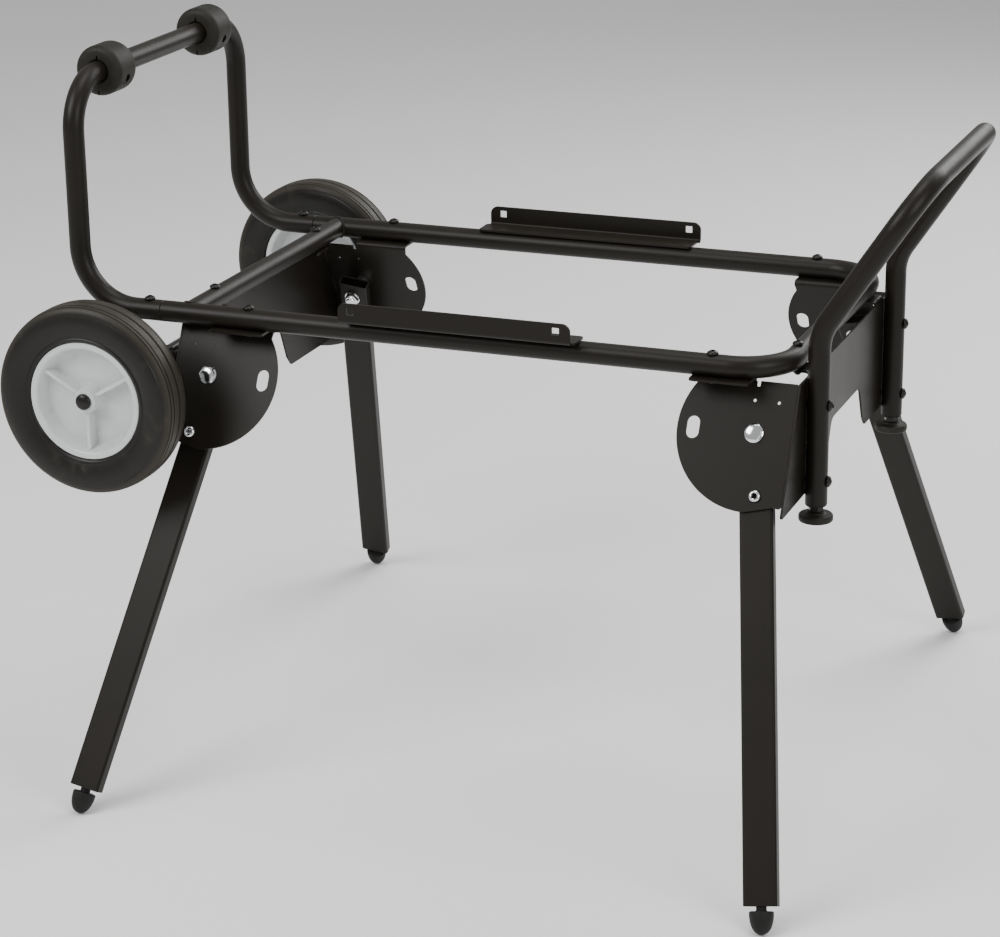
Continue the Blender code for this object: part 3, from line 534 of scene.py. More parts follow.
COAT = PowderCoat("satin_powder_coat", "powder_coat", (0.0100, 0.0080, 0.0056), 0.38, specular=0.20)
BLACK_STEEL = PlatedSteel(
    "blackened_steel", "black_steel", (0.013, 0.012, 0.011), 0.30, 0.3, specular=0.35, stain=0.3
)
ZINC = PlatedSteel("bright_zinc_plate", "zinc", (0.80, 0.81, 0.82), 0.12, 1.0)
HUB_GREY = Moulding(
    "pale_grey_nylon", "hub_plastic", (0.58, 0.605, 0.60), 0.26, coat=0.3, depth=0.00003,
    grime=(0.25, 0.24, 0.21), grime_share=0.16,
)
BLACK_NYLON = Moulding(
    "black_nylon", "black_plastic", (0.0130, 0.0115, 0.0078), 0.55, specular=0.25, grain=1300.0,
    depth=0.00009, grime=(0.03, 0.028, 0.022), grime_share=0.5,
)
FOOT_RUBBER = Rubber(
    "moulded_foot_rubber", "foot_rubber", (0.0070, 0.0070, 0.0064), 0.58, specular=0.25,
    scuff=(0.02, 0.018, 0.015),
)


# ---------------------------------------------------------------- mesh tools
class Ring(NamedTuple):
    """A point of a turned profile.

    hexness runs from 0, round, to 1, a hexagon whose flats are at radius; slope lowers the corners.
    """

    radius: float
    height: float
    hexness: float = 0.0
    slope: float = 0.0


def evaluated(carrier: bpy.types.Object) -> bpy.types.Mesh:
    """The mesh of an object with its modifiers applied."""
    bpy.context.view_layer.update()
    graph = bpy.context.evaluated_depsgraph_get()
    return bpy.data.meshes.new_from_object(carrier.evaluated_get(graph), depsgraph=graph)


def modified(mesh: bpy.types.Mesh, *steps: tuple[str, dict]) -> bpy.types.Mesh:
    """A mesh with modifiers applied.

    Args:
        mesh: the mesh to start from.
        steps: the modifiers, each its type and its settings.

    Returns:
        The new mesh.
    """
    carrier = bpy.data.objects.new("carrier", mesh)
    bpy.context.scene.collection.objects.link(carrier)
    for kind, settings in steps:
        step = carrier.modifiers.new(kind, kind)
        for key, value in settings.items():
            setattr(step, key, value)
    made = evaluated(carrier)
    bpy.data.objects.remove(carrier)
    return made


def softened(mesh: bpy.types.Mesh, width: float, segments: int = 2, angle: float = 50.0) -> bpy.types.Mesh:
    """A mesh with its edges rounded.

    Args:
        mesh: a closed mesh.
        width: how far the rounding reaches from each edge.
        segments: facets of the rounding.
        angle: edges that turn by more than this, in degrees, are rounded.

    Returns:
        The new mesh.
    """
    settings = {
        "width": width,
        "segments": segments,
        "limit_method": "ANGLE",
        "angle_limit": math.radians(angle),
        "use_clamp_overlap": True,
    }
    return modified(mesh, ("BEVEL", settings))


def carved(mesh: bpy.types.Mesh, *tools: bpy.types.Mesh) -> bpy.types.Mesh:
    """A mesh with closed shapes cut away from it."""
    for tool in tools:
        cutter = bpy.data.objects.new("cutter", tool)
        bpy.context.scene.collection.objects.link(cutter)
        settings = {"object": cutter, "operation": "DIFFERENCE", "solver": "EXACT"}
        mesh = modified(mesh, ("BOOLEAN", settings))
        bpy.data.objects.remove(cutter)
    return mesh


def mesh_from(build: bmesh.types.BMesh, name: str = "shape") -> bpy.types.Mesh:
    """Ends a bmesh and returns its mesh with normals out."""
    bmesh.ops.recalc_face_normals(build, faces=build.faces[:])
    mesh = bpy.data.meshes.new(name)
    build.to_mesh(mesh)
    build.free()
    return mesh


def turned(profile: Sequence[Ring | tuple], segments: int = 48) -> bpy.types.Mesh:
    """A closed shape turned about Z.

    Args:
        profile: rings from one end to the other; a profile with no ring on the axis is closed on itself.
        segments: facets of the turn.

    Returns:
        The mesh.
    """
    rings = [Ring(*p) for p in profile]
    build = bmesh.new()
    loops = []
    for ring in rings:
        if ring.radius < 1e-7:
            loops.append([build.verts.new((0, 0, ring.height))])
            continue
        loop = []
        for i in range(segments):
            turn = 2 * math.pi * i / segments
            flat = 1 / math.cos(turn % (math.pi / 3) - math.pi / 6)
            radius = ring.radius * (1 + ring.hexness * (flat - 1))
            height = ring.height - ring.slope * (radius - ring.radius)
            loop.append(build.verts.new((radius * math.cos(turn), radius * math.sin(turn), height)))
        loops.append(loop)
    pairs = list(zip(loops, loops[1:]))
    if len(loops[0]) > 1 and len(loops[-1]) > 1:
        pairs.append((loops[-1], loops[0]))
    for low, high in pairs:
        for i in range(segments):
            j = (i + 1) % segments
            ends = [low[i % len(low)], low[j % len(low)], high[j % len(high)], high[i % len(high)]]
            build.faces.new(list(dict.fromkeys(ends)))
    return mesh_from(build)


def both_sides(profile: Sequence[Point2]) -> list[Point2]:
    """A profile followed by its mirror image, for a ring that is alike on both sides."""
    return [*profile, *((radius, -height) for radius, height in reversed(profile))]


def arc(centre: Point2, radius: float, start: float, end: float, steps: int) -> list[Point2]:
    """Points on a circle from start to end, in degrees."""
    turns = (math.radians(start + (end - start) * i / steps) for i in range(steps + 1))
    return [(centre[0] + radius * math.cos(t), centre[1] + radius * math.sin(t)) for t in turns]


def circle(centre: Point2, radius: float, steps: int = 32) -> list[Point2]:
    """Points round a circle."""
    return arc(centre, radius, 0, 360, steps)[:-1]


def rounded(outline: Sequence[Point2], radii: float | Sequence[float], steps: int = 6) -> list[Point2]:
    """A closed outline with its corners rounded.

    Args:
        outline: the corners in order.
        radii: one radius, or one for each corner; 0 leaves a corner sharp.
        steps: facets of each rounding.

    Returns:
        The new outline.
    """
    count = len(outline)
    sizes = [radii] * count if isinstance(radii, (int, float)) else list(radii)
    points: list[Point2] = []
    for i, size in enumerate(sizes):
        corner = Vector(outline[i])
        if not size:
            points.append(tuple(corner))
            continue
        back = (Vector(outline[i - 1]) - corner).normalized()
        ahead = (Vector(outline[(i + 1) % count]) - corner).normalized()
        half = back.angle(ahead) / 2
        centre = corner + (back + ahead).normalized() * size / math.sin(half)
        first = corner + back * size / math.tan(half) - centre
        last = corner + ahead * size / math.tan(half) - centre
        sweep = first.angle(last)
        for k in range(steps + 1):
            share = k / steps
            spoke = (first * math.sin((1 - share) * sweep) + last * math.sin(share * sweep)) / math.sin(sweep)
            points.append(tuple(centre + spoke))
    return points


def box_mesh(low: Sequence[float], high: Sequence[float]) -> bpy.types.Mesh:
    """A box between two corners, as a tool for cutting or the core of a rounded block."""
    build = bmesh.new()
    bmesh.ops.create_cube(build, size=1.0)
    low, high = Vector(low), Vector(high)
    bmesh.ops.transform(
        build,
        matrix=Matrix.Translation((low + high) / 2) @ Matrix.Diagonal((*(high - low), 1)),
        verts=build.verts,
    )
    return mesh_from(build)


def blank(
    outline: Sequence[Point2], holes: Iterable[Sequence[Point2]] = (), thick: float = SHEET
) -> bpy.types.Mesh:
    """A flat sheet with its face at z = 0 and its back at z = -thick.

    Args:
        outline: the sheet's edge.
        holes: outlines of its holes.
        thick: its thickness.

    Returns:
        A closed mesh.
    """
    points: list[Vector] = []
    loops = []
    for loop in [outline, *holes]:
        loops.append(list(range(len(points), len(points) + len(loop))))
        points += [Vector(p) for p in loop]
    edges = [(loop[i - 1], loop[i]) for loop in loops for i in range(len(loop))]
    flat = geometry.delaunay_2d_cdt(points, edges, loops, 5, 1e-8)
    build = bmesh.new()
    top = [build.verts.new((p[0], p[1], 0)) for p in flat[0]]
    bottom = [build.verts.new((p[0], p[1], -thick)) for p in flat[0]]
    uses: dict[tuple[int, int], int] = {}
    for face in flat[2]:
        build.faces.new([top[i] for i in face])
        build.faces.new([bottom[i] for i in reversed(face)])
        for i, j in zip(face, face[1:] + face[:1]):
            uses[(i, j)] = 1
    for i, j in uses:
        if (j, i) not in uses:
            build.faces.new([top[j], top[i], bottom[i], bottom[j]])
    return mesh_from(build)


class Bend(NamedTuple):
    """A fold of a sheet towards +Z, along X, beyond a line.

    start is the line's y, span the folded part's range on X, angle in radians, radius the inner one.
    """

    start: float
    angle: float = math.pi / 2
    radius: float = SHEET_BEND
    span: tuple[float, float] = (-9.0, 9.0)

    def length(self) -> float:
        """How much of the sheet the bend takes up, along its middle."""
        return self.angle * (self.radius + SHEET / 2)

    def reach(self, flange: float) -> float:
        """Where a blank ends whose folded flange is this long, measured over the bend and the sheet."""
        return self.start + self.length() + flange - SHEET - self.radius

    def apply(self, mesh: bpy.types.Mesh, steps: int = 8) -> bpy.types.Mesh:
        """Folds a blank.

        Args:
            mesh: a blank from blank().
            steps: facets of the bend.

        Returns:
            The same mesh, folded.
        """
        build = bmesh.new()
        build.from_mesh(mesh)
        for k in range(steps + 1):
            cut = (0, self.start + self.length() * k / steps, 0)
            parts = build.verts[:] + build.edges[:] + build.faces[:]
            bmesh.ops.bisect_plane(build, geom=parts, dist=1e-7, plane_co=cut, plane_no=(0, 1, 0))
        sine, cosine = math.sin(self.angle), math.cos(self.angle)
        for vert in build.verts:
            x, y, z = vert.co
            beyond = y - self.start
            if beyond < 1e-7 or not self.span[0] <= x <= self.span[1]:
                continue
            radius = self.radius - z
            if beyond < self.length():
                turn = beyond / (self.radius + SHEET / 2)
                vert.co = (x, self.start + radius * math.sin(turn), self.radius - radius * math.cos(turn))
            else:
                run = beyond - self.length()
                vert.co = (
                    x,
                    self.start + radius * sine + run * cosine,
                    self.radius - radius * cosine + run * sine,
                )
        build.to_mesh(mesh)
        build.free()
        return mesh


def bent_path(corners: Sequence[Sequence[float]], radii: Sequence[float], steps: int = 18) -> list[Vector]:
    """A path through corners with each inner corner rounded.

    Args:
        corners: the path's ends and corners.
        radii: one bend radius for each inner corner.
        steps: points of each bend.

    Returns:
        The path's points.
    """
    spots = [Vector(c) for c in corners]
    path = [spots[0]]
    for before, corner, after, radius in zip(spots, spots[1:], spots[2:], radii):
        back, ahead = (before - corner).normalized(), (after - corner).normalized()
        half = back.angle(ahead) / 2
        centre = corner + (back + ahead).normalized() * radius / math.sin(half)
        first = corner + back * radius / math.tan(half) - centre
        last = corner + ahead * radius / math.tan(half) - centre
        sweep = first.angle(last)
        for k in range(steps + 1):
            share = k / steps
            spoke = first * math.sin((1 - share) * sweep) + last * math.sin(share * sweep)
            path.append(centre + spoke / math.sin(sweep))
    path.append(spots[-1])
    return path


def path_mesh(paths: Iterable[Sequence[Vector]], girths: Iterable[Sequence[float]] = ()) -> bpy.types.Mesh:
    """Paths as one mesh of edges.

    Args:
        paths: the points of each path.
        girths: for each path, how its radius is scaled at each point.

    Returns:
        The mesh, with the attribute "girth".
    """
    points: list[Vector] = []
    edges: list[tuple[int, int]] = []
    for path in paths:
        first = len(points)
        points += path
        edges += [(first + i, first + i + 1) for i in range(len(path) - 1)]
    mesh = bpy.data.meshes.new("path")
    mesh.from_pydata(points, edges, [])
    scales = [g for row in girths for g in row] or [1.0] * len(points)
    mesh.attributes.new("girth", "FLOAT", "POINT").data.foreach_set("value", scales)
    return mesh


def point_mesh(spots: Sequence[tuple[Vector, Sequence[float], float]]) -> bpy.types.Mesh:
    """Points for copies: each a place, the way its copy faces, and its spin."""
    mesh = bpy.data.meshes.new("points")
    mesh.from_pydata([spot[0] for spot in spots], [], [])
    facing = mesh.attributes.new("facing", "FLOAT_VECTOR", "POINT")
    facing.data.foreach_set("vector", [c for spot in spots for c in spot[1]])
    mesh.attributes.new("spin", "FLOAT", "POINT").data.foreach_set("value", [s[2] for s in spots])
    return mesh


def moved(mesh: bpy.types.Mesh, place: Matrix) -> bpy.types.Mesh:
    """A copy of a mesh at a place, turned the right way out where the place mirrors it."""
    copy = mesh.copy()
    copy.transform(place)
    if place.to_3x3().determinant() < 0:
        copy.flip_normals()
    return copy


def joined(meshes: Iterable[bpy.types.Mesh]) -> bpy.types.Mesh:
    """Several meshes as one."""
    build = bmesh.new()
    for mesh in meshes:
        build.from_mesh(mesh)
    made = bpy.data.meshes.new("joined")
    build.to_mesh(made)
    build.free()
    return made


def facing(origin: Sequence[float], axis: Sequence[float]) -> Matrix:
    """A placement that turns Z to an axis."""
    return Matrix.Translation(origin) @ Vector(axis).to_track_quat("Z", "Y").to_matrix().to_4x4()


def axes(x: Sequence[float], y: Sequence[float], z: Sequence[float], origin: Sequence[float]) -> Matrix:
    """A placement whose own axes run along x, y and z."""
    return Matrix.Translation(origin) @ Matrix((x, y, z)).transposed().to_4x4()


class Workshop:
    """Makes pieces: runs the recipes, dresses meshes and hands them to the frame."""

    def __init__(self) -> None:
        """Builds the Geometry Nodes recipes once."""
        self.tubes = tube_recipe()
        self.beads = bead_recipe()
        self.copies = scatter_recipe()

    def bar(self, path: Sequence[Vector], radius: float, sides: int = 56) -> bpy.types.Mesh:
        """A round bar along a path, with its ends chamfered.

        Args:
            path: the centre line.
            radius: the bar's radius.
            sides: facets round it.

        Returns:
            The mesh.
        """
        chamfer = 0.0006
        head = path[0] + (path[1] - path[0]).normalized() * chamfer
        tail = path[-1] + (path[-2] - path[-1]).normalized() * chamfer
        line = [path[0], head, *path[1:-1], tail, path[-1]]
        small = 1 - chamfer / radius
        girths = [small] + [1.0] * (len(line) - 2) + [small]
        values = {"Radius": radius, "Sides": sides, "Finish": COAT.material()}
        return self.tubes.run(path_mesh([line], [girths]), **values)

    def bead(self, paths: Iterable[Sequence[Vector]], radius: float) -> bpy.types.Mesh:
        """A weld bead of a radius along each path."""
        values = {"Spacing": radius * 0.75, "Radius": radius, "Finish": COAT.material()}
        return self.beads.run(path_mesh(paths), **values)

    def copy(self, shape: bpy.types.Mesh, spots: Sequence[tuple], finish: Finish) -> bpy.types.Mesh:
        """Copies of a shape.

        Args:
            shape: the shape, drawn about Z.
            spots: for each copy its place, the way it faces, and its spin.
            finish: the copies' finish.

        Returns:
            One mesh.
        """
        source = bpy.data.objects.new("source", shape)
        bpy.context.scene.collection.objects.link(source)
        made = self.copies.run(point_mesh(spots), Shape=source, Finish=finish.material())
        bpy.data.objects.remove(source)
        return made

    @staticmethod
    def piece(name: str, mesh: bpy.types.Mesh, finish: Finish, body: str, nodes: Sequence[str] = ()) -> Any:
        """Hands a finished mesh to the frame.

        Args:
            name: the piece's name.
            mesh: its mesh, in place.
            finish: its finish.
            body: the body that it moves with.
            nodes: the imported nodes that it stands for.

        Returns:
            The object.
        """
        mesh.materials.clear()
        mesh.materials.append(finish.material())
        mesh.shade_smooth()
        mesh.set_sharp_from_angle(angle=SHARP)
        mesh = modified(mesh, ("WEIGHTED_NORMAL", {"keep_sharp": True, "weight": 60}))
        mesh.name = name
        made = bpy.data.objects.new(name, mesh)
        bpy.context.scene.collection.objects.link(made)
        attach(made, body)
        if nodes:
            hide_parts(*nodes)
        LOG.info("%s on %s: %d faces", name, body, len(mesh.polygons))
        return made


# ---------------------------------------------------------------- layout
@dataclass(frozen=True)
class Layout:
    """Where the frame's lines run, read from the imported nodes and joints."""

    tube: float
    rail_y: float
    rail_z: float
    seam_x: float
    left_x: float
    right_x: float
    loop_x: float
    loop_z: float
    post_x: float
    post_y: float
    post_foot: float
    bar_x: float
    bar_z: float
    tilt: float

    @classmethod
    def read(cls) -> "Layout":
        """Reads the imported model."""
        rails, loop, handle = (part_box(n) for n in ("main_frame_tube", "toe_loop_tube", "handle_tube"))
        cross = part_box("left_cross_tube")
        tube = (rails[1].z - rails[0].z) / 2
        axis = joint("leg_fold_front_right")["axis"]
        return cls(
            tube=tube,
            rail_y=rails[1].y - tube,
            rail_z=(rails[0].z + rails[1].z) / 2,
            seam_x=loop[1].x,
            left_x=(cross[0].x + cross[1].x) / 2,
            right_x=rails[1].x - tube,
            loop_x=loop[0].x + tube,
            loop_z=loop[1].z - tube,
            post_x=handle[0].x + tube,
            post_y=handle[1].y - tube,
            post_foot=handle[0].z,
            bar_x=handle[1].x - tube,
            bar_z=handle[1].z - tube,
            tilt=math.atan2(abs(axis[2]), abs(axis[1])),
        )


def joint(name: str) -> dict:
    """A joint of the record."""
    return next(j for j in FRAME["joints"] if j["name"] == name)


def corner_place(layout: Layout, side: Side, end: End) -> Matrix:
    """Axes of a leg plate at its pivot: outwards along X, up the plate, out of its face."""
    pivot = joint(f"leg_fold_{side.label}_{end.label}")["pos_m"]
    lean, rise = math.sin(layout.tilt), math.cos(layout.tilt)
    away = side.value
    return axes((end.value, 0, 0), (0, -away * lean, rise), (0, away * rise, lean), pivot)


def plate_edge(place: Matrix, side: Side, end: End) -> float:
    """How far a leg plate reaches along X from its pivot, to the end panel's outer face."""
    low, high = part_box(f"leg_plate_{side.label}_{end.label}")
    return abs((high.x if end is End.RIGHT else low.x) - place.translation.x)


def middle(node: str) -> Vector:
    """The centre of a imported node's box."""
    low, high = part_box(node)
    return (low + high) / 2


# ---------------------------------------------------------------- tube frame
@dataclass
class TubeFrame:
    """The rails' hoop, the wheel-end cross bar, the toe loop and the lift handle.

    The radii are those of the bends' centre lines. cope is how far the cross bar stops short of the rails'
    middle, and the spigots are a little thinner than the tube that slides over them.
    """

    shop: Workshop
    at: Layout
    corner_radius: float = 0.060
    loop_low_radius: float = 0.070
    loop_top_radius: float = 0.060
    handle_radius: float = 0.060
    handle_bend_z: float = 0.587
    cope: float = 0.0015
    bead: float = 0.0019
    spigot_reach: float = 0.004
    spigot_inset: float = 0.0012

    def build(self) -> None:
        """Makes the round tubes and the welds of the cross bar."""
        at, piece = self.at, self.shop.piece
        hoop = [
            (at.seam_x + GAP, -at.rail_y, at.rail_z),
            (at.right_x, -at.rail_y, at.rail_z),
            (at.right_x, at.rail_y, at.rail_z),
            (at.seam_x + GAP, at.rail_y, at.rail_z),
        ]
        path = bent_path(hoop, (self.corner_radius,) * 2)
        piece("rail_hoop", self.shop.bar(path, at.tube), COAT, "frame", ["main_frame_tube"])
        short = at.rail_y - self.cope
        path = [Vector((at.left_x, y, at.rail_z)) for y in (-short, short)]
        piece("wheel_end_cross_bar", self.shop.bar(path, at.tube), COAT, "frame", ["left_cross_tube"])
        piece("cross_bar_welds", self.shop.bead(self.saddles(), self.bead), COAT, "frame")
        loop = [
            (at.seam_x, -at.rail_y, at.rail_z),
            (at.loop_x, -at.rail_y, at.rail_z),
            (at.loop_x, -at.rail_y, at.loop_z),
            (at.loop_x, at.rail_y, at.loop_z),
            (at.loop_x, at.rail_y, at.rail_z),
            (at.seam_x, at.rail_y, at.rail_z),
        ]
        bends = (self.loop_low_radius, self.loop_top_radius, self.loop_top_radius, self.loop_low_radius)
        piece("toe_hoop", self.shop.bar(bent_path(loop, bends), at.tube), COAT, "frame", ["toe_loop_tube"])
        handle = [
            (at.post_x, -at.post_y, at.post_foot),
            (at.post_x, -at.post_y, self.handle_bend_z),
            (at.bar_x, -at.post_y, at.bar_z),
            (at.bar_x, at.post_y, at.bar_z),
            (at.post_x, at.post_y, self.handle_bend_z),
            (at.post_x, at.post_y, at.post_foot),
        ]
        path = bent_path(handle, (self.handle_radius,) * 4)
        piece("lift_handle", self.shop.bar(path, at.tube), COAT, "frame", ["handle_tube"])
        self.sleeves()

    def saddles(self) -> list[list[Vector]]:
        """The lines where the cross bar's coped ends meet the rails."""
        at = self.at
        ring = arc((at.left_x, at.rail_z), at.tube, 0, 360, 48)
        reaches = [at.rail_y - abs(x - at.left_x) for x, _ in ring]
        return [
            [Vector((x, side.value * reach, z)) for (x, z), reach in zip(ring, reaches)] for side in Side
        ]

    def sleeves(self) -> None:
        """The swaged spigots that show as a dark line where the toe loop plugs in."""
        paths = []
        for side in Side:
            y = side.value * self.at.rail_y
            ends = (self.at.seam_x - self.spigot_reach, self.at.seam_x + self.spigot_reach)
            paths.append([Vector((x, y, self.at.rail_z)) for x in ends])
        rods = [self.shop.bar(path, self.at.tube - self.spigot_inset, 40) for path in paths]
        self.shop.piece("seam_spigots", joined(rods), BLACK_STEEL, "frame")


# ---------------------------------------------------------------- pressed sheet
@dataclass
class PressedSheet:
    """End panels, leg plates, saw brackets and axle brackets, folded from flat blanks.

    edge is the rounding of every sheet's edges. The panel, arch and tab sizes are heights above the floor and
    distances from the middle plane. The plate, lip, notch, lock and locating sizes are in a plate's own axes,
    from its pivot. The square holes are measured from the ends and the top of a saw bracket's wall.
    """

    shop: Workshop
    at: Layout
    edge: float = 0.0005
    panel_top: float = 0.5345
    panel_foot: float = 0.400
    arch_z: float = 0.4545
    arch_top: float = 0.062
    arch_foot: float = 0.0885
    tab_y: float = 0.1465
    tab_width: float = 0.034
    tab_depth: float = 0.028
    plate_radius: float = 0.088
    plate_top: float = 0.0585
    plate_shoulder: float = 0.0500
    lip_y: float = 0.2325
    lip_span: tuple[float, float] = (-0.074, -0.006)
    notch: tuple[float, float] = (-0.0045, -0.0005)
    notch_depth: float = 0.0065
    lock_hole: float = 0.0073
    slot_half: float = 0.0126
    locating_hole: float = 0.0019
    locating_spots: tuple[Point2, ...] = ((-0.0044, 0.0364), (0.0231, 0.0360))
    bracket_base: float = 0.036
    bracket_bend: float = 0.0022
    bracket_corner: float = 0.009
    bracket_tail: float = 0.004
    square: float = 0.0088
    square_from_ends: tuple[float, float] = (0.0153, 0.0171)
    square_drop: float = 0.0092
    axle_bore: float = 0.0084
    top_flange: float = 0.022
    foot_setback: float = 0.0105
    stitch: float = 0.0015
    stitch_runs: tuple[tuple[float, float], ...] = ((-0.070, -0.050), (-0.020, 0.0), (0.030, 0.050))

    def build(self) -> None:
        """Makes every folded sheet piece and the stitch welds that join them."""
        for end in End:
            self.end_panel(end)
        for side, end in CORNERS:
            self.leg_plate(side, end)
        for side in Side:
            self.saw_bracket(side)
            self.axle_bracket(side)
        self.stitches()

    def end_panel(self, end: End) -> None:
        """An end panel with its arch and its two tabs folded in under the cross tube."""
        at = self.at
        pivot = joint("leg_fold_front_right")["pos_m"]
        slope = math.tan(at.tilt)
        foot, top = self.panel_foot, self.panel_top
        foot_y, top_y = (abs(pivot[1]) - (z - pivot[2]) * slope for z in (foot, top))
        # The tabs stop just under the cross tube that they are bolted to.
        roof = at.rail_z - at.tube - 1.3 * GAP
        bend = Bend(roof - SHEET - SHEET_BEND)
        tip = bend.reach(self.tab_depth)
        tab_low, tab_high = (self.tab_y + k * self.tab_width / 2 for k in (-1, 1))
        half = [
            (self.arch_top, self.arch_z),
            (self.arch_foot - 0.008, foot + 0.012),
            (self.arch_foot + 0.003, foot),
            (foot_y, foot),
            (top_y, top),
            (tab_high, top),
            (tab_high, tip),
            (tab_low, tip),
            (tab_low, top),
        ]
        radii = (0.014, 0.006, 0.003, 0.003, 0.001, 0.0015, 0.003, 0.003, 0.0015)
        outline = rounded(half + [(-y, z) for y, z in reversed(half)], [*radii, *reversed(radii)])
        sheet = bend.apply(blank(outline))
        # Blank x, y, z become the stand's y, z and inwards: the tabs fold towards the middle.
        low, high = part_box(f"{end.label}_end_panel")
        outer = high.x if end is End.RIGHT else low.x
        inward = -end.value
        place = axes((0, 1, 0), (0, 0, 1), (inward, 0, 0), (outer + inward * SHEET, 0, 0))
        mesh = moved(softened(sheet, self.edge), place)
        self.shop.piece(f"{end.label}_web_panel", mesh, COAT, "frame", [f"{end.label}_end_panel"])

    def leg_plate(self, side: Side, end: End) -> None:
        """A leg plate: its round edge, lock hole, slot, locating holes and folded rail lip."""
        at = self.at
        place = corner_place(at, side, end)
        edge = plate_edge(place, side, end)
        lean, rise = math.sin(at.tilt), math.cos(at.tilt)
        height = at.rail_z - at.tube - GAP - place.translation.z
        start = (height - SHEET - SHEET_BEND * (1 + lean)) / rise
        low, high = self.lip_span
        bend = Bend(start, math.pi / 2 + at.tilt, SHEET_BEND, (low - 0.001, high + 0.001))
        foot_y = abs(place.translation.y) - lean * start + rise * SHEET_BEND
        tip = start + bend.length() + self.lip_y - foot_y
        top, notch = self.plate_top, self.notch
        shoulder = math.degrees(math.asin(self.plate_shoulder / self.plate_radius))
        outline = arc((0, 0), self.plate_radius, 180 - shoulder, 270, 40)
        outline += rounded(
            [
                (edge, -self.plate_radius),
                (edge, top),
                (notch[1], top),
                (notch[1], top - self.notch_depth),
                (notch[0], top - self.notch_depth),
                (notch[0], top - 0.0005),
                (high, top - 0.0005),
                (high, tip),
                (low, tip),
                (low, top - 0.0005),
            ],
            (0.004, 0.0015, 0.001, 0.0015, 0.0015, 0.0005, 0.0005, 0.004, 0.004, 0.002),
            5,
        )
        reach = self.slot_half - self.lock_hole
        slot = arc((-LOCK_RADIUS, reach), self.lock_hole, 0, 180, 14)
        slot += arc((-LOCK_RADIUS, -reach), self.lock_hole, 180, 360, 14)
        lock = (LOCK_RADIUS * math.sin(SPLAY), -LOCK_RADIUS * math.cos(SPLAY))
        holes = [circle(lock, self.lock_hole), slot]
        holes += [circle(spot, self.locating_hole, 20) for spot in self.locating_spots]
        mesh = moved(softened(bend.apply(blank(outline, holes)), self.edge), place)
        corner = f"{side.label}_{end.label}"
        self.shop.piece(f"knee_plate_{corner}", mesh, COAT, "frame", [f"leg_plate_{corner}"])

    def saw_bracket(self, side: Side) -> None:
        """An angle bracket that a saw bolts to; the back one is the front one turned end for end."""
        name = f"saw_bracket_{side.label}"
        low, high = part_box(name)
        span = high.x - low.x
        width = span - self.bracket_tail
        bend = Bend(self.bracket_base - SHEET - self.bracket_bend, radius=self.bracket_bend)
        fold, tip, nick = bend.start, bend.reach(high.z - low.z), 0.003
        base = [(nick, 0), (span, 0), (span, fold - 0.0005), (width, fold - 0.0005)]
        wall = [(width, tip), (0, tip), (0, fold), (nick, fold)]
        corner = self.bracket_corner
        outline = rounded(base + wall, (0.004, 0.004, 0.004, 0.0005, corner, corner, 0.0005, 0.0005))
        holes = []
        for x in (self.square_from_ends[0], width - self.square_from_ends[1]):
            y, half = tip - self.square_drop, self.square / 2
            corners = [(x - half, y - half), (x + half, y - half), (x + half, y + half), (x - half, y + half)]
            holes.append(rounded(corners, 0.0008, 4))
        sheet = softened(bend.apply(blank(outline, holes)), self.edge)
        # The blank's face is the base's upper side, and its far edge folds up at the outer side.
        away = side.value
        start, outer = (high.x, high.y) if side is Side.BACK else (low.x, low.y)
        origin = (start, outer - away * self.bracket_base, low.z + SHEET)
        place = axes((-away, 0, 0), (0, away, 0), (0, 0, 1), origin)
        self.shop.piece(f"saw_angle_{side.label}", moved(sheet, place), COAT, "frame", [name])

    def axle_bracket(self, side: Side) -> None:
        """A cheek that carries the axle, with a flange along its top and one against the end panel."""
        name = f"axle_bracket_{side.label}"
        low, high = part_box(name)
        length, tall, depth = high.x - low.x, high.z - low.z, high.y - low.y
        top = Bend(tall - SHEET - SHEET_BEND, span=(-1, length - 0.012))
        tip = top.reach(self.top_flange)
        hinge = joint("wheel_spin_front")["pos_m"]
        bore = circle((hinge[0] - low.x, hinge[2] - low.z), self.axle_bore)
        wide, narrow, brow = length - 0.010, length - 0.014, tall - 0.001
        outline = rounded(
            [(0, 0), (wide, 0), (wide, brow), (narrow, brow), (narrow, tip), (0, tip)],
            (0.010, 0.0005, 0.0005, 0.001, 0.006, 0.003),
        )
        cheek = softened(top.apply(blank(outline, [bore])), self.edge)
        # The cheek's face looks inwards, so its flange folds to the middle plane.
        away = side.value
        outer = low.y if side is Side.FRONT else high.y
        face = outer - away * SHEET
        upright = axes((1, 0, 0), (0, 0, 1), (0, -away, 0), (low.x, face, low.z))
        foot = Bend(self.foot_setback)
        run = foot.reach(depth)
        strip = blank(rounded([(0, 0), (tall, 0), (tall, run), (0, run)], (0, 0, 0.005, 0.005)))
        strip = softened(foot.apply(strip), self.edge)
        # The strip's x is height, its y runs to the end panel and its z is inwards.
        heel = high.x - self.foot_setback - SHEET - SHEET_BEND
        lying = axes((0, 0, 1), (1, 0, 0), (0, -away, 0), (heel, face, low.z))
        mesh = joined([moved(cheek, upright), moved(strip, lying)])
        self.shop.piece(f"axle_cheek_{side.label}", mesh, COAT, "frame", [name])

    def stitches(self) -> None:
        """Stitch welds inside each corner, where a leg plate's edge meets its end panel."""
        lines = []
        for side, end in CORNERS:
            place = corner_place(self.at, side, end)
            edge, back = plate_edge(place, side, end) - 0.0002, -SHEET - 0.0002
            for low, high in self.stitch_runs:
                heights = (low + (high - low) * k / 8 for k in range(9))
                lines.append([place @ Vector((edge, height, back)) for height in heights])
        self.shop.piece("corner_stitch_welds", self.shop.bead(lines, self.stitch), COAT, "frame")


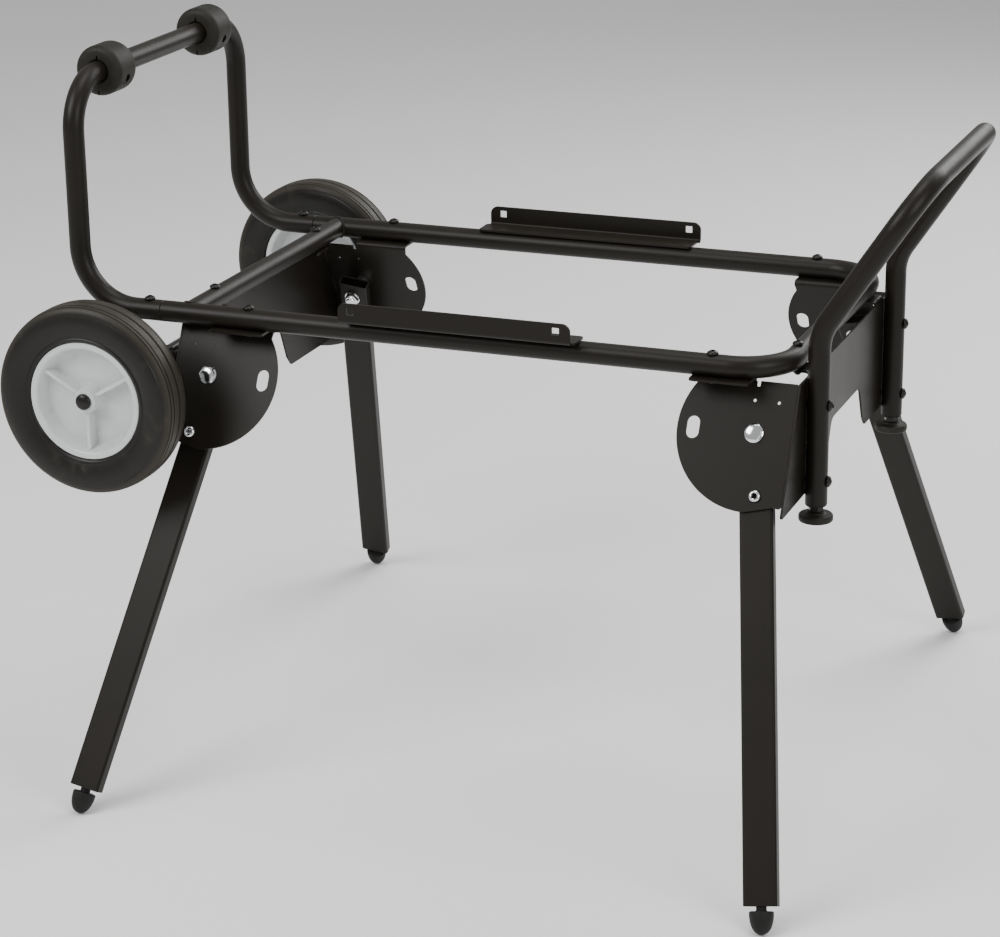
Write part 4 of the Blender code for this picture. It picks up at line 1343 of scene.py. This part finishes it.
# ---------------------------------------------------------------- fasteners
@dataclass
class Fasteners:
    """Button-head bolts with their nuts, the pivot bolts, and the legs' lock buttons.

    nut_sink is how far a nut sits inside its bolt's box. A spacer holds each leg at the wheel end away from
    its plate, so that it folds past the leg of the other end.
    """

    shop: Workshop
    at: Layout
    head_radius: float = 0.0065
    head_height: float = 0.0042
    nut_flats: float = 0.010
    nut_height: float = 0.005
    nut_sink: float = 0.0015
    shank: float = 0.003
    socket: float = 0.002
    pivot_shank: float = 0.0049
    pivot_flats: float = 0.0084
    pivot_flange: float = 0.0108
    pivot_nut_flats: float = 0.0085
    washer: float = 0.0012
    spacer_radius: float = 0.0100
    spacer_bore: float = 0.0054
    button_radius: float = 0.0070
    button_flange: float = 0.009
    button_spigot: float = 0.004

    def build(self) -> None:
        """Makes the bolts and nuts, then the pivots and buttons of each leg."""
        kinds = ("toe_loop", "left_cross", "left_plate", "right_plate", "right_cross")
        names = [f"{kind}_bolt_{side.label}" for kind in kinds for side in Side]
        heads, nuts = [], []
        for i, name in enumerate(names):
            low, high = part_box(name)
            centre = middle(name)
            heads.append((Vector((centre.x, centre.y, high.z - self.head_height)), (0, 0, 1), 0.4 * i))
            if not name.startswith("toe"):
                nuts.append((Vector((centre.x, centre.y, low.z + self.nut_sink)), (0, 0, 1), 0.7 * i))
        posts = [f"post_bolt_{side.label}_{level}" for side in Side for level in ("upper", "lower")]
        for i, name in enumerate(posts):
            low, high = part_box(name)
            centre = middle(name)
            heads.append((Vector((high.x - self.head_height, centre.y, centre.z)), (1, 0, 0), 0.5 * i))
            nuts.append((Vector((low.x + self.nut_sink, centre.y, centre.z)), (1, 0, 0), 0.3 * i))
        bolts = self.shop.copy(self.button_head(), heads, BLACK_STEEL)
        self.shop.piece("button_head_bolts", bolts, BLACK_STEEL, "frame", names + posts)
        locks = self.shop.copy(self.lock_nut(), nuts, BLACK_STEEL)
        self.shop.piece("lock_nuts", locks, BLACK_STEEL, "frame")
        for side, end in CORNERS:
            self.pivot(side, end)
            self.button(side, end)

    def button_head(self) -> bpy.types.Mesh:
        """A low domed head with a hexagon socket, and its shank; z = 0 is under the head."""
        radius, height = self.head_radius, self.head_height
        dome = [
            (radius * math.sin(a), height * (0.22 + 0.78 * math.cos(a) ** 1.2))
            for a in (math.radians(22 + 68 * k / 9) for k in range(10))
        ]
        socket = self.socket
        profile = [
            (0, height * 0.42),
            (socket, height * 0.45, 1),
            (socket, height * 0.93, 1),
            (socket * 1.22, height * 0.985, 0.2),
            *dome,
            (radius, 0.0003),
            (radius - 0.0003, 0),
            (self.shank, 0),
            (self.shank, -0.004),
            (0, -0.004),
        ]
        return turned(profile)

    def lock_nut(self) -> bpy.types.Mesh:
        """A hexagon nut with its insert collar and the threaded bolt end; z = 0 is its lower face."""
        flat, height, shank = self.nut_flats / 2, self.nut_height, self.shank
        profile = [(0, -0.0015), (shank - 0.0006, -0.0015)]
        profile += [(shank - 0.0004 * (k % 2), -0.0011 + 0.00022 * k) for k in range(6)]
        profile += [
            (shank + 0.0002, 0.0003),
            (flat * 0.80, 0.0002),
            (flat * 0.86, 0.0009),
            (flat * 0.93, 0.0011),
            (flat, 0.0011, 1, -0.55),
            (flat, height, 1),
            (shank, height),
            (shank, height + 0.003),
            (0, height + 0.003),
        ]
        return turned(profile)

    def pivot(self, side: Side, end: End) -> None:
        """A leg's pivot bolt with its washer and nut, and its spacer at the wheel end."""
        corner = f"{side.label}_{end.label}"
        setback, bore = Legs.setback(end), self.spacer_bore
        back = -setback - Legs.thickness - GAP
        rear = back - self.washer
        disc = [(0.0051, back), (0.0100, back), (0.0100, rear), (0.0051, rear)]
        parts = [self.pivot_head(), self.pivot_nut(back), turned(disc, 60)]
        nodes = [f"pivot_bolt_{corner}"]
        if end is End.LEFT:
            high, low, wide = -SHEET - GAP, -setback + GAP, self.spacer_radius
            skin = [(wide - 0.0004, high), (wide, high - 0.0004), (wide, low + 0.0004), (wide - 0.0004, low)]
            parts.append(turned([(bore, high), *skin, (bore, low)], 60))
            nodes.append(f"pivot_spacer_{corner}")
        mesh = moved(joined(parts), corner_place(self.at, side, end))
        self.shop.piece(f"pivot_pin_{corner}", mesh, ZINC, "frame", nodes)

    def pivot_head(self) -> bpy.types.Mesh:
        """A crowned hexagon head on a flange, with its shank through the plate; z = 0 is the plate."""
        flat, flange, shank = self.pivot_flats, self.pivot_flange, self.pivot_shank
        profile = [
            (0, 0.0067),
            (flat * 0.40, 0.0066),
            (flat * 0.75, 0.0062),
            (flat * 0.96, 0.0056),
            (flat, 0.0054, 1, 0.40),
            (flat, 0.0020, 1),
            (flat * 1.12, 0.0016),
            (flange - 0.0002, 0.0009),
            (flange, 0.0005),
            (flange - 0.0002, GAP),
            (shank, GAP),
            (shank, -SHEET),
            (0, -SHEET),
        ]
        return turned(profile, 72)

    def pivot_nut(self, back: float) -> bpy.types.Mesh:
        """A hexagon nut with the bolt's end through it, against a washer whose front is at back."""
        flat, shank, inside = self.pivot_nut_flats, self.pivot_shank, -SHEET + 0.0002
        profile = [
            (0, back - 0.0100),
            (shank - 0.0007, back - 0.0100),
            (shank, back - 0.0093),
            (shank + 0.0006, back - 0.0080),
            (flat * 0.82, back - 0.0079),
            (flat * 0.86, back - 0.0066),
            (flat * 0.95, back - 0.0064),
            (flat, back - 0.0064, 1, -0.55),
            (flat, back - self.washer, 1),
            (shank, back - self.washer),
            (shank, inside),
            (0, inside),
        ]
        return turned(profile, 72)

    def button(self, side: Side, end: End) -> None:
        """A leg's lock button: a crowned pin with a hollow centre, held inside the tube by a flange."""
        corner = f"{side.label}_{end.label}"
        inside = -Legs.setback(end) - Legs.wall - GAP
        radius, flange, spigot = self.button_radius, self.button_flange, self.button_spigot
        crown = [(radius - 0.0020, 0.0038), (radius - 0.0010, 0.0031), (radius - 0.0003, 0.0020)]
        profile = [
            (0, -0.0040),
            (0.0024, -0.0040),
            (0.0030, 0.0026),
            (0.0034, 0.0036),
            (0.0040, 0.0040),
            *crown,
            (radius, 0.0008),
            (radius, inside),
            (flange, inside),
            (flange, inside - 0.002),
            (spigot, inside - 0.002),
            (spigot, inside - 0.0055),
            (0, inside - 0.0055),
        ]
        place = Legs.place(self.at, side, end) @ Matrix.Translation((0, -LOCK_RADIUS, 0))
        mesh = moved(turned(profile, 56), place)
        self.shop.piece(f"lock_pin_{corner}", mesh, ZINC, f"button_{corner}", [f"lock_button_{corner}"])


# ---------------------------------------------------------------- legs
@dataclass
class Legs:
    """Four rectangular tube legs with plugged rubber feet."""

    shop: Workshop
    at: Layout
    width: float = 0.038
    top: float = 0.020
    corner: float = 0.0032
    foot_radius: float = 0.0135
    foot_length: float = 0.025
    foot_neck: float = 0.0058
    stem: float = 0.005
    seam: float = 0.0006
    plug: float = 0.014
    thickness: ClassVar[float] = 0.016
    wall: ClassVar[float] = 0.0015

    @staticmethod
    def setback(end: End) -> float:
        """How far a leg's outer face is behind its plate's outer face."""
        return 0.0205 if end is End.LEFT else 0.0035

    @staticmethod
    def place(layout: Layout, side: Side, end: End) -> Matrix:
        """Axes of a leg at its pivot, with the leg running down -Y."""
        return corner_place(layout, side, end) @ Matrix.Rotation(SPLAY, 4, "Z")

    def length(self, end: End) -> float:
        """Pivot to foot tip, so that the round tip meets the floor."""
        drop = math.cos(self.at.tilt) * math.cos(SPLAY)
        centre = self.setback(end) + self.thickness / 2
        pivot = joint("leg_fold_front_left")["pos_m"][2]
        height = pivot - centre * math.sin(self.at.tilt)
        return (height - self.foot_radius) / drop + self.foot_radius

    def build(self) -> None:
        """Makes each leg and its foot."""
        for side, end in CORNERS:
            corner = f"{side.label}_{end.label}"
            place = self.place(self.at, side, end)
            body = f"leg_{corner}"
            shapes = (("tube", self.tube(end), COAT), ("foot", self.foot(end), FOOT_RUBBER))
            for word, shape, finish in shapes:
                node = f"leg_{word}_{corner}"
                self.shop.piece(f"leg_{corner}_{word}", moved(shape, place), finish, body, [node])

    def tube(self, end: End) -> bpy.types.Mesh:
        """A hollow tube with rounded corners and softened ends."""
        outer = -self.setback(end)
        inner, half, steps = outer - self.thickness, self.width / 2, 8

        def section(inset: float) -> list[Point2]:
            """The tube's rounded rectangle, made smaller all round by an inset."""
            wide, low, high = half - inset, inner + inset, outer - inset
            corners = [(-wide, low), (wide, low), (wide, high), (-wide, high)]
            return rounded(corners, self.corner - inset, steps)

        skin = section(0.0)
        # The weld seam is a shallow groove in the middle of one of the outer corners.
        seam = (steps + 1) * (2 if end is End.RIGHT else 3) + steps // 2
        x, y = skin[seam]
        skin[seam] = (x - math.copysign(self.seam, x), y - self.seam)
        reach = self.length(end) - self.foot_length - self.stem
        solid = blank(skin, [section(self.wall)], self.top + reach)
        # Drawn with its section flat: the section's y becomes the plate's z, and its height runs down.
        return moved(softened(solid, 0.0004), axes((1, 0, 0), (0, 0, 1), (0, 1, 0), (0, self.top, 0)))

    def foot(self, end: End) -> bpy.types.Mesh:
        """A rubber bullet foot on its stem, with the plug that fills the tube's end."""
        centre = -self.setback(end) - self.thickness / 2
        tip = -self.length(end)
        radius, top, brim = self.foot_radius, tip + self.foot_length, 0.0022
        turns = [math.radians(90 * k / 12) for k in range(12)]
        fall = self.foot_length - brim
        nose = [(radius * math.cos(t) ** 0.82, top - brim - math.sin(t) * fall) for t in turns]
        neck, neck_top = self.foot_neck, top + self.stem + 0.004
        profile = [
            (0, neck_top),
            (neck, neck_top),
            (neck, top + 0.0010),
            (neck + 0.0006, top + 0.0002),
            (radius - 0.0018, top),
            (radius - 0.0005, top - 0.0005),
            (radius, top - 0.0015),
            *nose,
            (0, tip),
        ]
        bullet = moved(turned(profile, 64), axes((1, 0, 0), (0, 0, -1), (0, 1, 0), (0, 0, centre)))
        play = 0.0002
        half = self.width / 2 - self.wall - play
        deep = self.thickness / 2 - self.wall - play
        start = top + self.stem + play
        block = box_mesh((-half, start, centre - deep), (half, start + self.plug, centre + deep))
        return joined([bullet, softened(block, 0.001, 3)])


# ---------------------------------------------------------------- wheels
@dataclass
class Wheels:
    """Two rubber-tyred wheels on a through axle."""

    shop: Workshop
    rim: float = 0.0721
    seat: float = 0.0700
    half_hub: float = 0.020
    bore: float = 0.0064
    boss: float = 0.0140
    web: float = 0.0015
    rib_top: float = 0.0150
    rib_width: float = 0.0068
    rib_taper: float = 0.66
    head_radius: float = 0.0095
    head_height: float = 0.006
    journal: float = 0.006
    shaft: float = 0.008

    def build(self) -> None:
        """Makes both wheels and the axle."""
        for side in Side:
            word = side.label
            centre = Vector(joint(f"wheel_spin_{word}")["pos_m"])
            place = axes((1, 0, 0), (0, 0, 1), (0, side.value, 0), centre)
            rubber = Rubber(
                "moulded_tyre_rubber", "tyre_rubber", (0.0092, 0.0086, 0.0070), 0.36, specular=0.26,
                centre=(centre.x, centre.z), tread=self.rim + 0.0305,
            )
            tyre, hub = moved(self.tyre(side), place), moved(self.hub(), place)
            self.shop.piece(f"solid_tyre_{word}", tyre, rubber, f"wheel_{word}", [f"tyre_{word}"])
            self.shop.piece(f"spoked_hub_{word}", hub, HUB_GREY, f"wheel_{word}", [f"wheel_hub_{word}"])
        self.axle(centre)

    def tyre(self, side: Side) -> bpy.types.Mesh:
        """A solid tyre: bead ring, bulging sidewall, and ribs round the tread."""
        low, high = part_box(f"tyre_{side.label}")
        half, tread = (high.y - low.y) / 2, (high.z - low.z) / 2
        flank = [
            (self.seat + GAP, half * 0.79),
            (self.rim - 0.0008, half * 0.85),
            (self.rim + 0.0010, half * 0.895),
            (self.rim + 0.0024, half * 0.90),
            (self.rim + 0.0032, half * 0.875),
            (self.rim + 0.0042, half * 0.865),
            (self.rim + 0.0060, half * 0.895),
            (self.rim + 0.0100, half * 0.945),
            (self.rim + 0.0150, half * 0.982),
            (self.rim + 0.0200, half),
            (self.rim + 0.0245, half * 0.995),
            (self.rim + 0.0285, half * 0.965),
            (self.rim + 0.0305, half * 0.940),
            (self.rim + 0.0312, half * 0.905),
            (self.rim + 0.0322, half * 0.895),
            (self.rim + 0.0345, half * 0.875),
            (tread - 0.0040, half * 0.825),
            (tread - 0.0026, half * 0.780),
            (tread - 0.0021, half * 0.752),
            (tread - 0.0036, half * 0.735),
            (tread - 0.0036, half * 0.700),
            (tread - 0.0014, half * 0.682),
            (tread - 0.0008, half * 0.600),
            (tread - 0.0008, half * 0.560),
            (tread - 0.0028, half * 0.545),
            (tread - 0.0028, half * 0.505),
            (tread - 0.0004, half * 0.490),
            (tread, half * 0.300),
            (tread, half * 0.075),
            (tread - 0.0018, half * 0.055),
        ]
        return turned(both_sides(flank), 160)

    def hub(self) -> bpy.types.Mesh:
        """A one-piece hub: rim, dished wall, thin web, boss and three ribs on the outer side."""
        half, seat, boss, web = self.half_hub, self.seat, self.boss, self.web
        face = [
            (self.bore, half + 0.0004),
            (self.bore + 0.0006, half + 0.0010),
            (boss - 0.0012, half + 0.0010),
            (boss - 0.0003, half + 0.0006),
            (boss, half - 0.0004),
            (boss + 0.0010, half - 0.0030),
            (boss + 0.0022, web + 0.0030),
            (boss + 0.0032, web + 0.0008),
            (boss + 0.0050, web),
            (seat - 0.0175, web),
            (seat - 0.0150, web + 0.0008),
            (seat - 0.0132, web + 0.0032),
            (seat - 0.0092, half - 0.0050),
            (seat - 0.0084, half - 0.0024),
            (seat - 0.0070, half - 0.0007),
            (seat - 0.0052, half),
            (seat - 0.0012, half),
            (seat - 0.0003, half - 0.0004),
            (seat, half - 0.0012),
        ]
        hub = turned(both_sides(face), 128)
        wide = self.rib_width / 2
        rib = box_mesh((boss - 0.001, -wide, 0), (seat - 0.0094, wide, self.rib_top))
        for vert in rib.vertices:
            if vert.co.z > self.rib_top / 2:
                vert.co.y *= self.rib_taper
        spots = [(Vector((0, 0, 0)), (0, 0, 1), math.radians(30 + 120 * i)) for i in range(3)]
        return joined([hub, self.shop.copy(softened(rib, 0.0008, 3), spots, HUB_GREY)])

    def axle(self, centre: Vector) -> None:
        """The shouldered axle, its formed head, and the push cap at the other end."""
        low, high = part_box("wheel_axle")
        seat, tip = abs(low.y) - self.head_height, -high.y
        shoulder = abs(centre.y) - self.half_hub - 0.001 - GAP
        radius, journal, shaft = self.head_radius, self.journal, self.shaft
        turns = [math.radians(9 * k) for k in range(11)]
        dome = [(radius * math.sin(t), seat + self.head_height * (0.30 + 0.70 * math.cos(t))) for t in turns]
        head = [*dome, (radius, seat + 0.0003), (radius - 0.0004, seat)]
        step = [
            (journal, shoulder + 0.0005),
            (shaft - 0.0005, shoulder),
            (shaft, shoulder - 0.0006),
        ]
        tail = [(journal, tip + 0.0005), (journal - 0.0006, tip), (0, tip)]
        pin = [*head, (journal, seat), *both_sides(step), *tail]
        hub_line = Vector((centre.x, 0, centre.z))
        mesh = moved(turned(pin, 56), facing(hub_line, (0, -1, 0)))
        self.shop.piece("through_axle", mesh, BLACK_STEEL, "frame", ["wheel_axle"])
        grip, hollow = journal + 0.0004, seat + 0.0018
        cap = [*head, (grip, seat), (grip, hollow), (0, hollow)]
        mesh = moved(turned(cap, 56), facing(hub_line, (0, 1, 0)))
        self.shop.piece("axle_push_cap", mesh, BLACK_STEEL, "frame", ["axle_cap_back"])


# ---------------------------------------------------------------- toe loop collars
@dataclass
class Collars:
    """Two moulded collars on the toe loop, each clamped from two halves."""

    shop: Workshop
    at: Layout
    radius: float = 0.030
    length: float = 0.045
    offset: float = 0.1285
    screw_drop: float = 0.010
    slot_depth: float = 0.0060
    slot_length: float = 0.013
    foot_slot: float = 0.0065
    recess_radius: float = 0.0048
    recess_depth: float = 0.008
    screw_radius: float = 0.0040
    screw_socket: float = 0.0017

    def build(self) -> None:
        """Makes the four halves and their screws."""
        ring = self.ring()
        screws = []
        for half, out in (("inner", 1), ("outer", -1)):
            part = self.half(ring, out)
            for side in Side:
                centre = Vector((self.at.loop_x, side.value * self.offset, self.at.loop_z))
                name = f"collar_{side.label}_{half}_half"
                mesh = moved(part, Matrix.Translation(centre))
                self.shop.piece(f"grip_{side.label}_{half}", mesh, BLACK_NYLON, "frame", [name])
                depth = self.radius - self.recess_depth + 0.0002
                seat = centre + Vector((out * depth, 0, -self.screw_drop))
                screws.append((seat, (out, 0, 0), 0.6 + side.value))
        heads = self.shop.copy(self.screw_head(), screws, BLACK_STEEL)
        self.shop.piece("collar_screws", heads, BLACK_STEEL, "frame")

    def screw_head(self) -> bpy.types.Mesh:
        """A cap-screw head with its hexagon socket."""
        radius, socket = self.screw_radius, self.screw_socket
        profile = [
            (0, 0.0006),
            (socket, 0.0007, 1),
            (socket, 0.0026, 1),
            (socket + 0.0007, 0.0028),
            (radius - 0.0004, 0.0024),
            (radius, 0.0012),
            (radius, 0),
            (0, 0),
        ]
        return turned(profile, 36)

    def ring(self) -> bpy.types.Mesh:
        """A whole collar about Y, with soft rims and a funnel round the tube at both ends."""
        half, bore = self.length / 2, self.at.tube + GAP
        end = [
            (bore, half - 0.0020),
            (bore + 0.0004, half - 0.0010),
            (bore + 0.0014, half - 0.0002),
            (bore + 0.0024, half),
            (self.radius - 0.0075, half),
            (self.radius - 0.0048, half - 0.0006),
            (self.radius - 0.0025, half - 0.0019),
            (self.radius - 0.0009, half - 0.0038),
            (self.radius - 0.0002, half - 0.0060),
            (self.radius, half - 0.0085),
        ]
        return moved(turned(both_sides(end), 96), Matrix.Rotation(math.radians(90), 4, "X"))

    def half(self, ring: bpy.types.Mesh, out: int) -> bpy.types.Mesh:
        """One half of a collar.

        Args:
            ring: the whole collar.
            out: 1 for the half that faces the frame, -1 for the other.

        Returns:
            The half, with its slots and its screw recess.
        """
        reach, long = self.radius + 0.01, self.length
        sides = sorted((0.00013 * out, -reach * out))
        tools = [box_mesh((sides[0], -long, -reach), (sides[1], long, reach))]
        bore = self.at.tube
        slots = sorted((-0.001 * out, 0.0011 * out))
        inmost = long / 2 - self.slot_length
        for low, high in ((bore - 0.002, bore + self.slot_depth), (-reach, -self.radius + self.foot_slot)):
            for start, end in ((-long, -inmost), (inmost, long)):
                tools.append(box_mesh((slots[0], start, low), (slots[1], end, high)))
        recess = turned([(0, 0), (self.recess_radius, 0), (self.recess_radius, reach), (0, reach)], 40)
        seat = (out * (self.radius - self.recess_depth), 0, -self.screw_drop)
        return carved(ring, *tools, moved(recess, facing(seat, (out, 0, 0))))


# ---------------------------------------------------------------- levelling feet
@dataclass
class LevellingFeet:
    """Screw feet under the handle posts, with the posts' end plugs."""

    shop: Workshop
    at: Layout
    pad_radius: float = 0.0195
    stud: float = 0.005
    nut_flats: float = 0.0074
    pitch: float = 0.00125
    plug_radius: float = 0.0121
    plug_barrel: float = 0.0100

    def build(self) -> None:
        """Makes the pads, studs and plugs."""
        for side in Side:
            place = Matrix.Translation((self.at.post_x, side.value * self.at.post_y, 0))
            body = f"foot_{side.label}"
            node = f"levelling_pad_{side.label}"
            low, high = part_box(node)
            pad = moved(self.pad(low.z, high.z), place)
            self.shop.piece(f"round_pad_{side.label}", pad, BLACK_NYLON, body, [node])
            node = f"levelling_stud_{side.label}"
            low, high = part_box(node)
            stud = moved(self.threaded(low.z, high.z), place)
            self.shop.piece(f"threaded_stud_{side.label}", stud, BLACK_STEEL, body, [node])
            self.shop.piece(f"post_plug_{side.label}", moved(self.plug(), place), BLACK_NYLON, "frame")

    def plug(self) -> bpy.types.Mesh:
        """The bush that closes a post's foot round its stud."""
        foot, radius, barrel, bore = self.at.post_foot, self.plug_radius, self.plug_barrel, self.stud + 0.0003
        profile = [
            (bore, foot + 0.004),
            (barrel, foot + 0.004),
            (barrel, foot),
            (radius - 0.0002, foot - 0.0001),
            (radius, foot - 0.0006),
            (radius - 0.0007, foot - 0.0014),
            (bore + 0.0005, foot - 0.0014),
            (bore, foot - 0.0009),
        ]
        return turned(profile, 56)

    def pad(self, low: float, high: float) -> bpy.types.Mesh:
        """A round pad with a soft rim and a raised neck."""
        radius = self.pad_radius
        profile = [
            (0, high),
            (radius * 0.44, high),
            (radius * 0.50, high - 0.0004),
            (radius * 0.54, high - 0.0016),
            (radius * 0.60, high - 0.0024),
            (radius * 0.86, high - 0.0028),
            (radius * 0.94, high - 0.0032),
            (radius * 0.985, high - 0.0042),
            (radius, high - 0.0056),
            (radius, low + 0.0022),
            (radius * 0.985, low + 0.0010),
            (radius * 0.94, low + 0.0002),
            (radius * 0.90, low),
            (0, low),
        ]
        return turned(profile, 80)

    def threaded(self, low: float, high: float) -> bpy.types.Mesh:
        """A stud with a hexagon collar and thread ridges up its length."""
        flat, pitch = self.nut_flats, self.pitch
        profile = [
            (0, low),
            (flat * 0.9, low),
            (flat, low + 0.0003, 1, -0.4),
            (flat, low + 0.0062, 1, 0.5),
            (flat * 0.9, low + 0.0068),
            (self.stud, low + 0.0070),
        ]
        height = low + 0.0074
        while height < high - pitch:
            profile += [(self.stud - 0.0006, height), (self.stud - 0.0001, height + pitch / 2)]
            height += pitch
        profile += [(self.stud - 0.0008, high), (0, high)]
        return turned(profile, 48)


# ---------------------------------------------------------------- studio
@dataclass
class Studio:
    """A pale floor, soft boxes and the camera."""

    azimuth: float = 21.36568
    elevation: float = 18.94062
    roll: float = -0.696663
    place: tuple[float, float, float] = (1.21166471, -3.19093726, 1.50077982)
    lens: float = 106.716
    floor_colour: tuple[float, float, float] = (0.92, 0.92, 0.915)
    ambient: float = 0.46

    def build(self) -> None:
        """Makes the camera first, then the floor and the light."""
        self.camera()
        self.floor()
        world = bpy.data.worlds.new("pale_room")
        world.use_nodes = True
        sky = world.node_tree.nodes["Background"].inputs
        sky["Color"].default_value = (1.0, 1.0, 1.0, 1)
        sky["Strength"].default_value = self.ambient
        bpy.context.scene.world = world
        self.softbox("key", (-1.7, -2.3, 2.7), 1.8, 80)
        self.softbox("fill", (2.6, -1.6, 1.8), 1.5, 34)
        self.softbox("rim", (1.2, 2.8, 2.4), 2.2, 75)
        self.softbox("top", (0.1, 0.0, 3.2), 1.4, 30)

    def camera(self) -> None:
        """The camera, turned about the stand by its azimuth, elevation and roll."""
        around, above, roll = (math.radians(v) for v in (self.azimuth, self.elevation, self.roll))
        level = math.cos(above)
        back = Vector((math.sin(around) * level, -math.cos(around) * level, math.sin(above)))
        right = Vector((math.cos(around), math.sin(around), 0))
        up = back.cross(right)
        tilted = right * math.cos(roll) + up * math.sin(roll)
        upright = up * math.cos(roll) - right * math.sin(roll)
        data = bpy.data.cameras.new("camera")
        data.sensor_width = 36
        data.lens = self.lens
        view = bpy.data.objects.new("camera", data)
        view.matrix_world = axes(tilted, upright, back, self.place)
        bpy.context.scene.collection.objects.link(view)
        bpy.context.scene.camera = view

    def floor(self) -> None:
        """A wide pale floor."""
        build = bmesh.new()
        bmesh.ops.create_circle(build, cap_ends=True, radius=30, segments=64)
        mesh = mesh_from(build, "floor")
        made = bpy.data.objects.new("floor", mesh)
        made.location.z = CAD_BOX[0][2] - 0.0002
        paint = bpy.data.materials.new("pale_floor")
        paint.use_nodes = True
        shader = paint.node_tree.nodes["Principled BSDF"]
        shader.inputs["Base Color"].default_value = (*self.floor_colour, 1)
        shader.inputs["Roughness"].default_value = 0.9
        mesh.materials.append(paint)
        bpy.context.scene.collection.objects.link(made)

    def softbox(self, name: str, place: Sequence[float], size: float, power: float) -> None:
        """A square area light that looks at the stand's middle."""
        data = bpy.data.lights.new(name, "AREA")
        data.size = size
        data.energy = power
        lamp = bpy.data.objects.new(name, data)
        target = Vector((0, 0, 0.5))
        lamp.matrix_world = facing(place, Vector(place) - target)
        bpy.context.scene.collection.objects.link(lamp)


def main() -> None:
    """Builds the studio and every sub-assembly."""
    logging.basicConfig(level=logging.INFO, format="%(name)s: %(message)s")
    # What an empty session starts with goes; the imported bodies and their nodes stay.
    for stray in [o for o in bpy.data.objects if "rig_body" not in o and not o.name.startswith("body:")]:
        bpy.data.objects.remove(stray)
    Studio().build()
    shop, at = Workshop(), Layout.read()
    for part in (
        TubeFrame(shop, at),
        PressedSheet(shop, at),
        Legs(shop, at),
        Wheels(shop),
        Collars(shop, at),
        LevellingFeet(shop, at),
        Fasteners(shop, at),
    ):
        part.build()


if __name__ == "__main__":
    main()
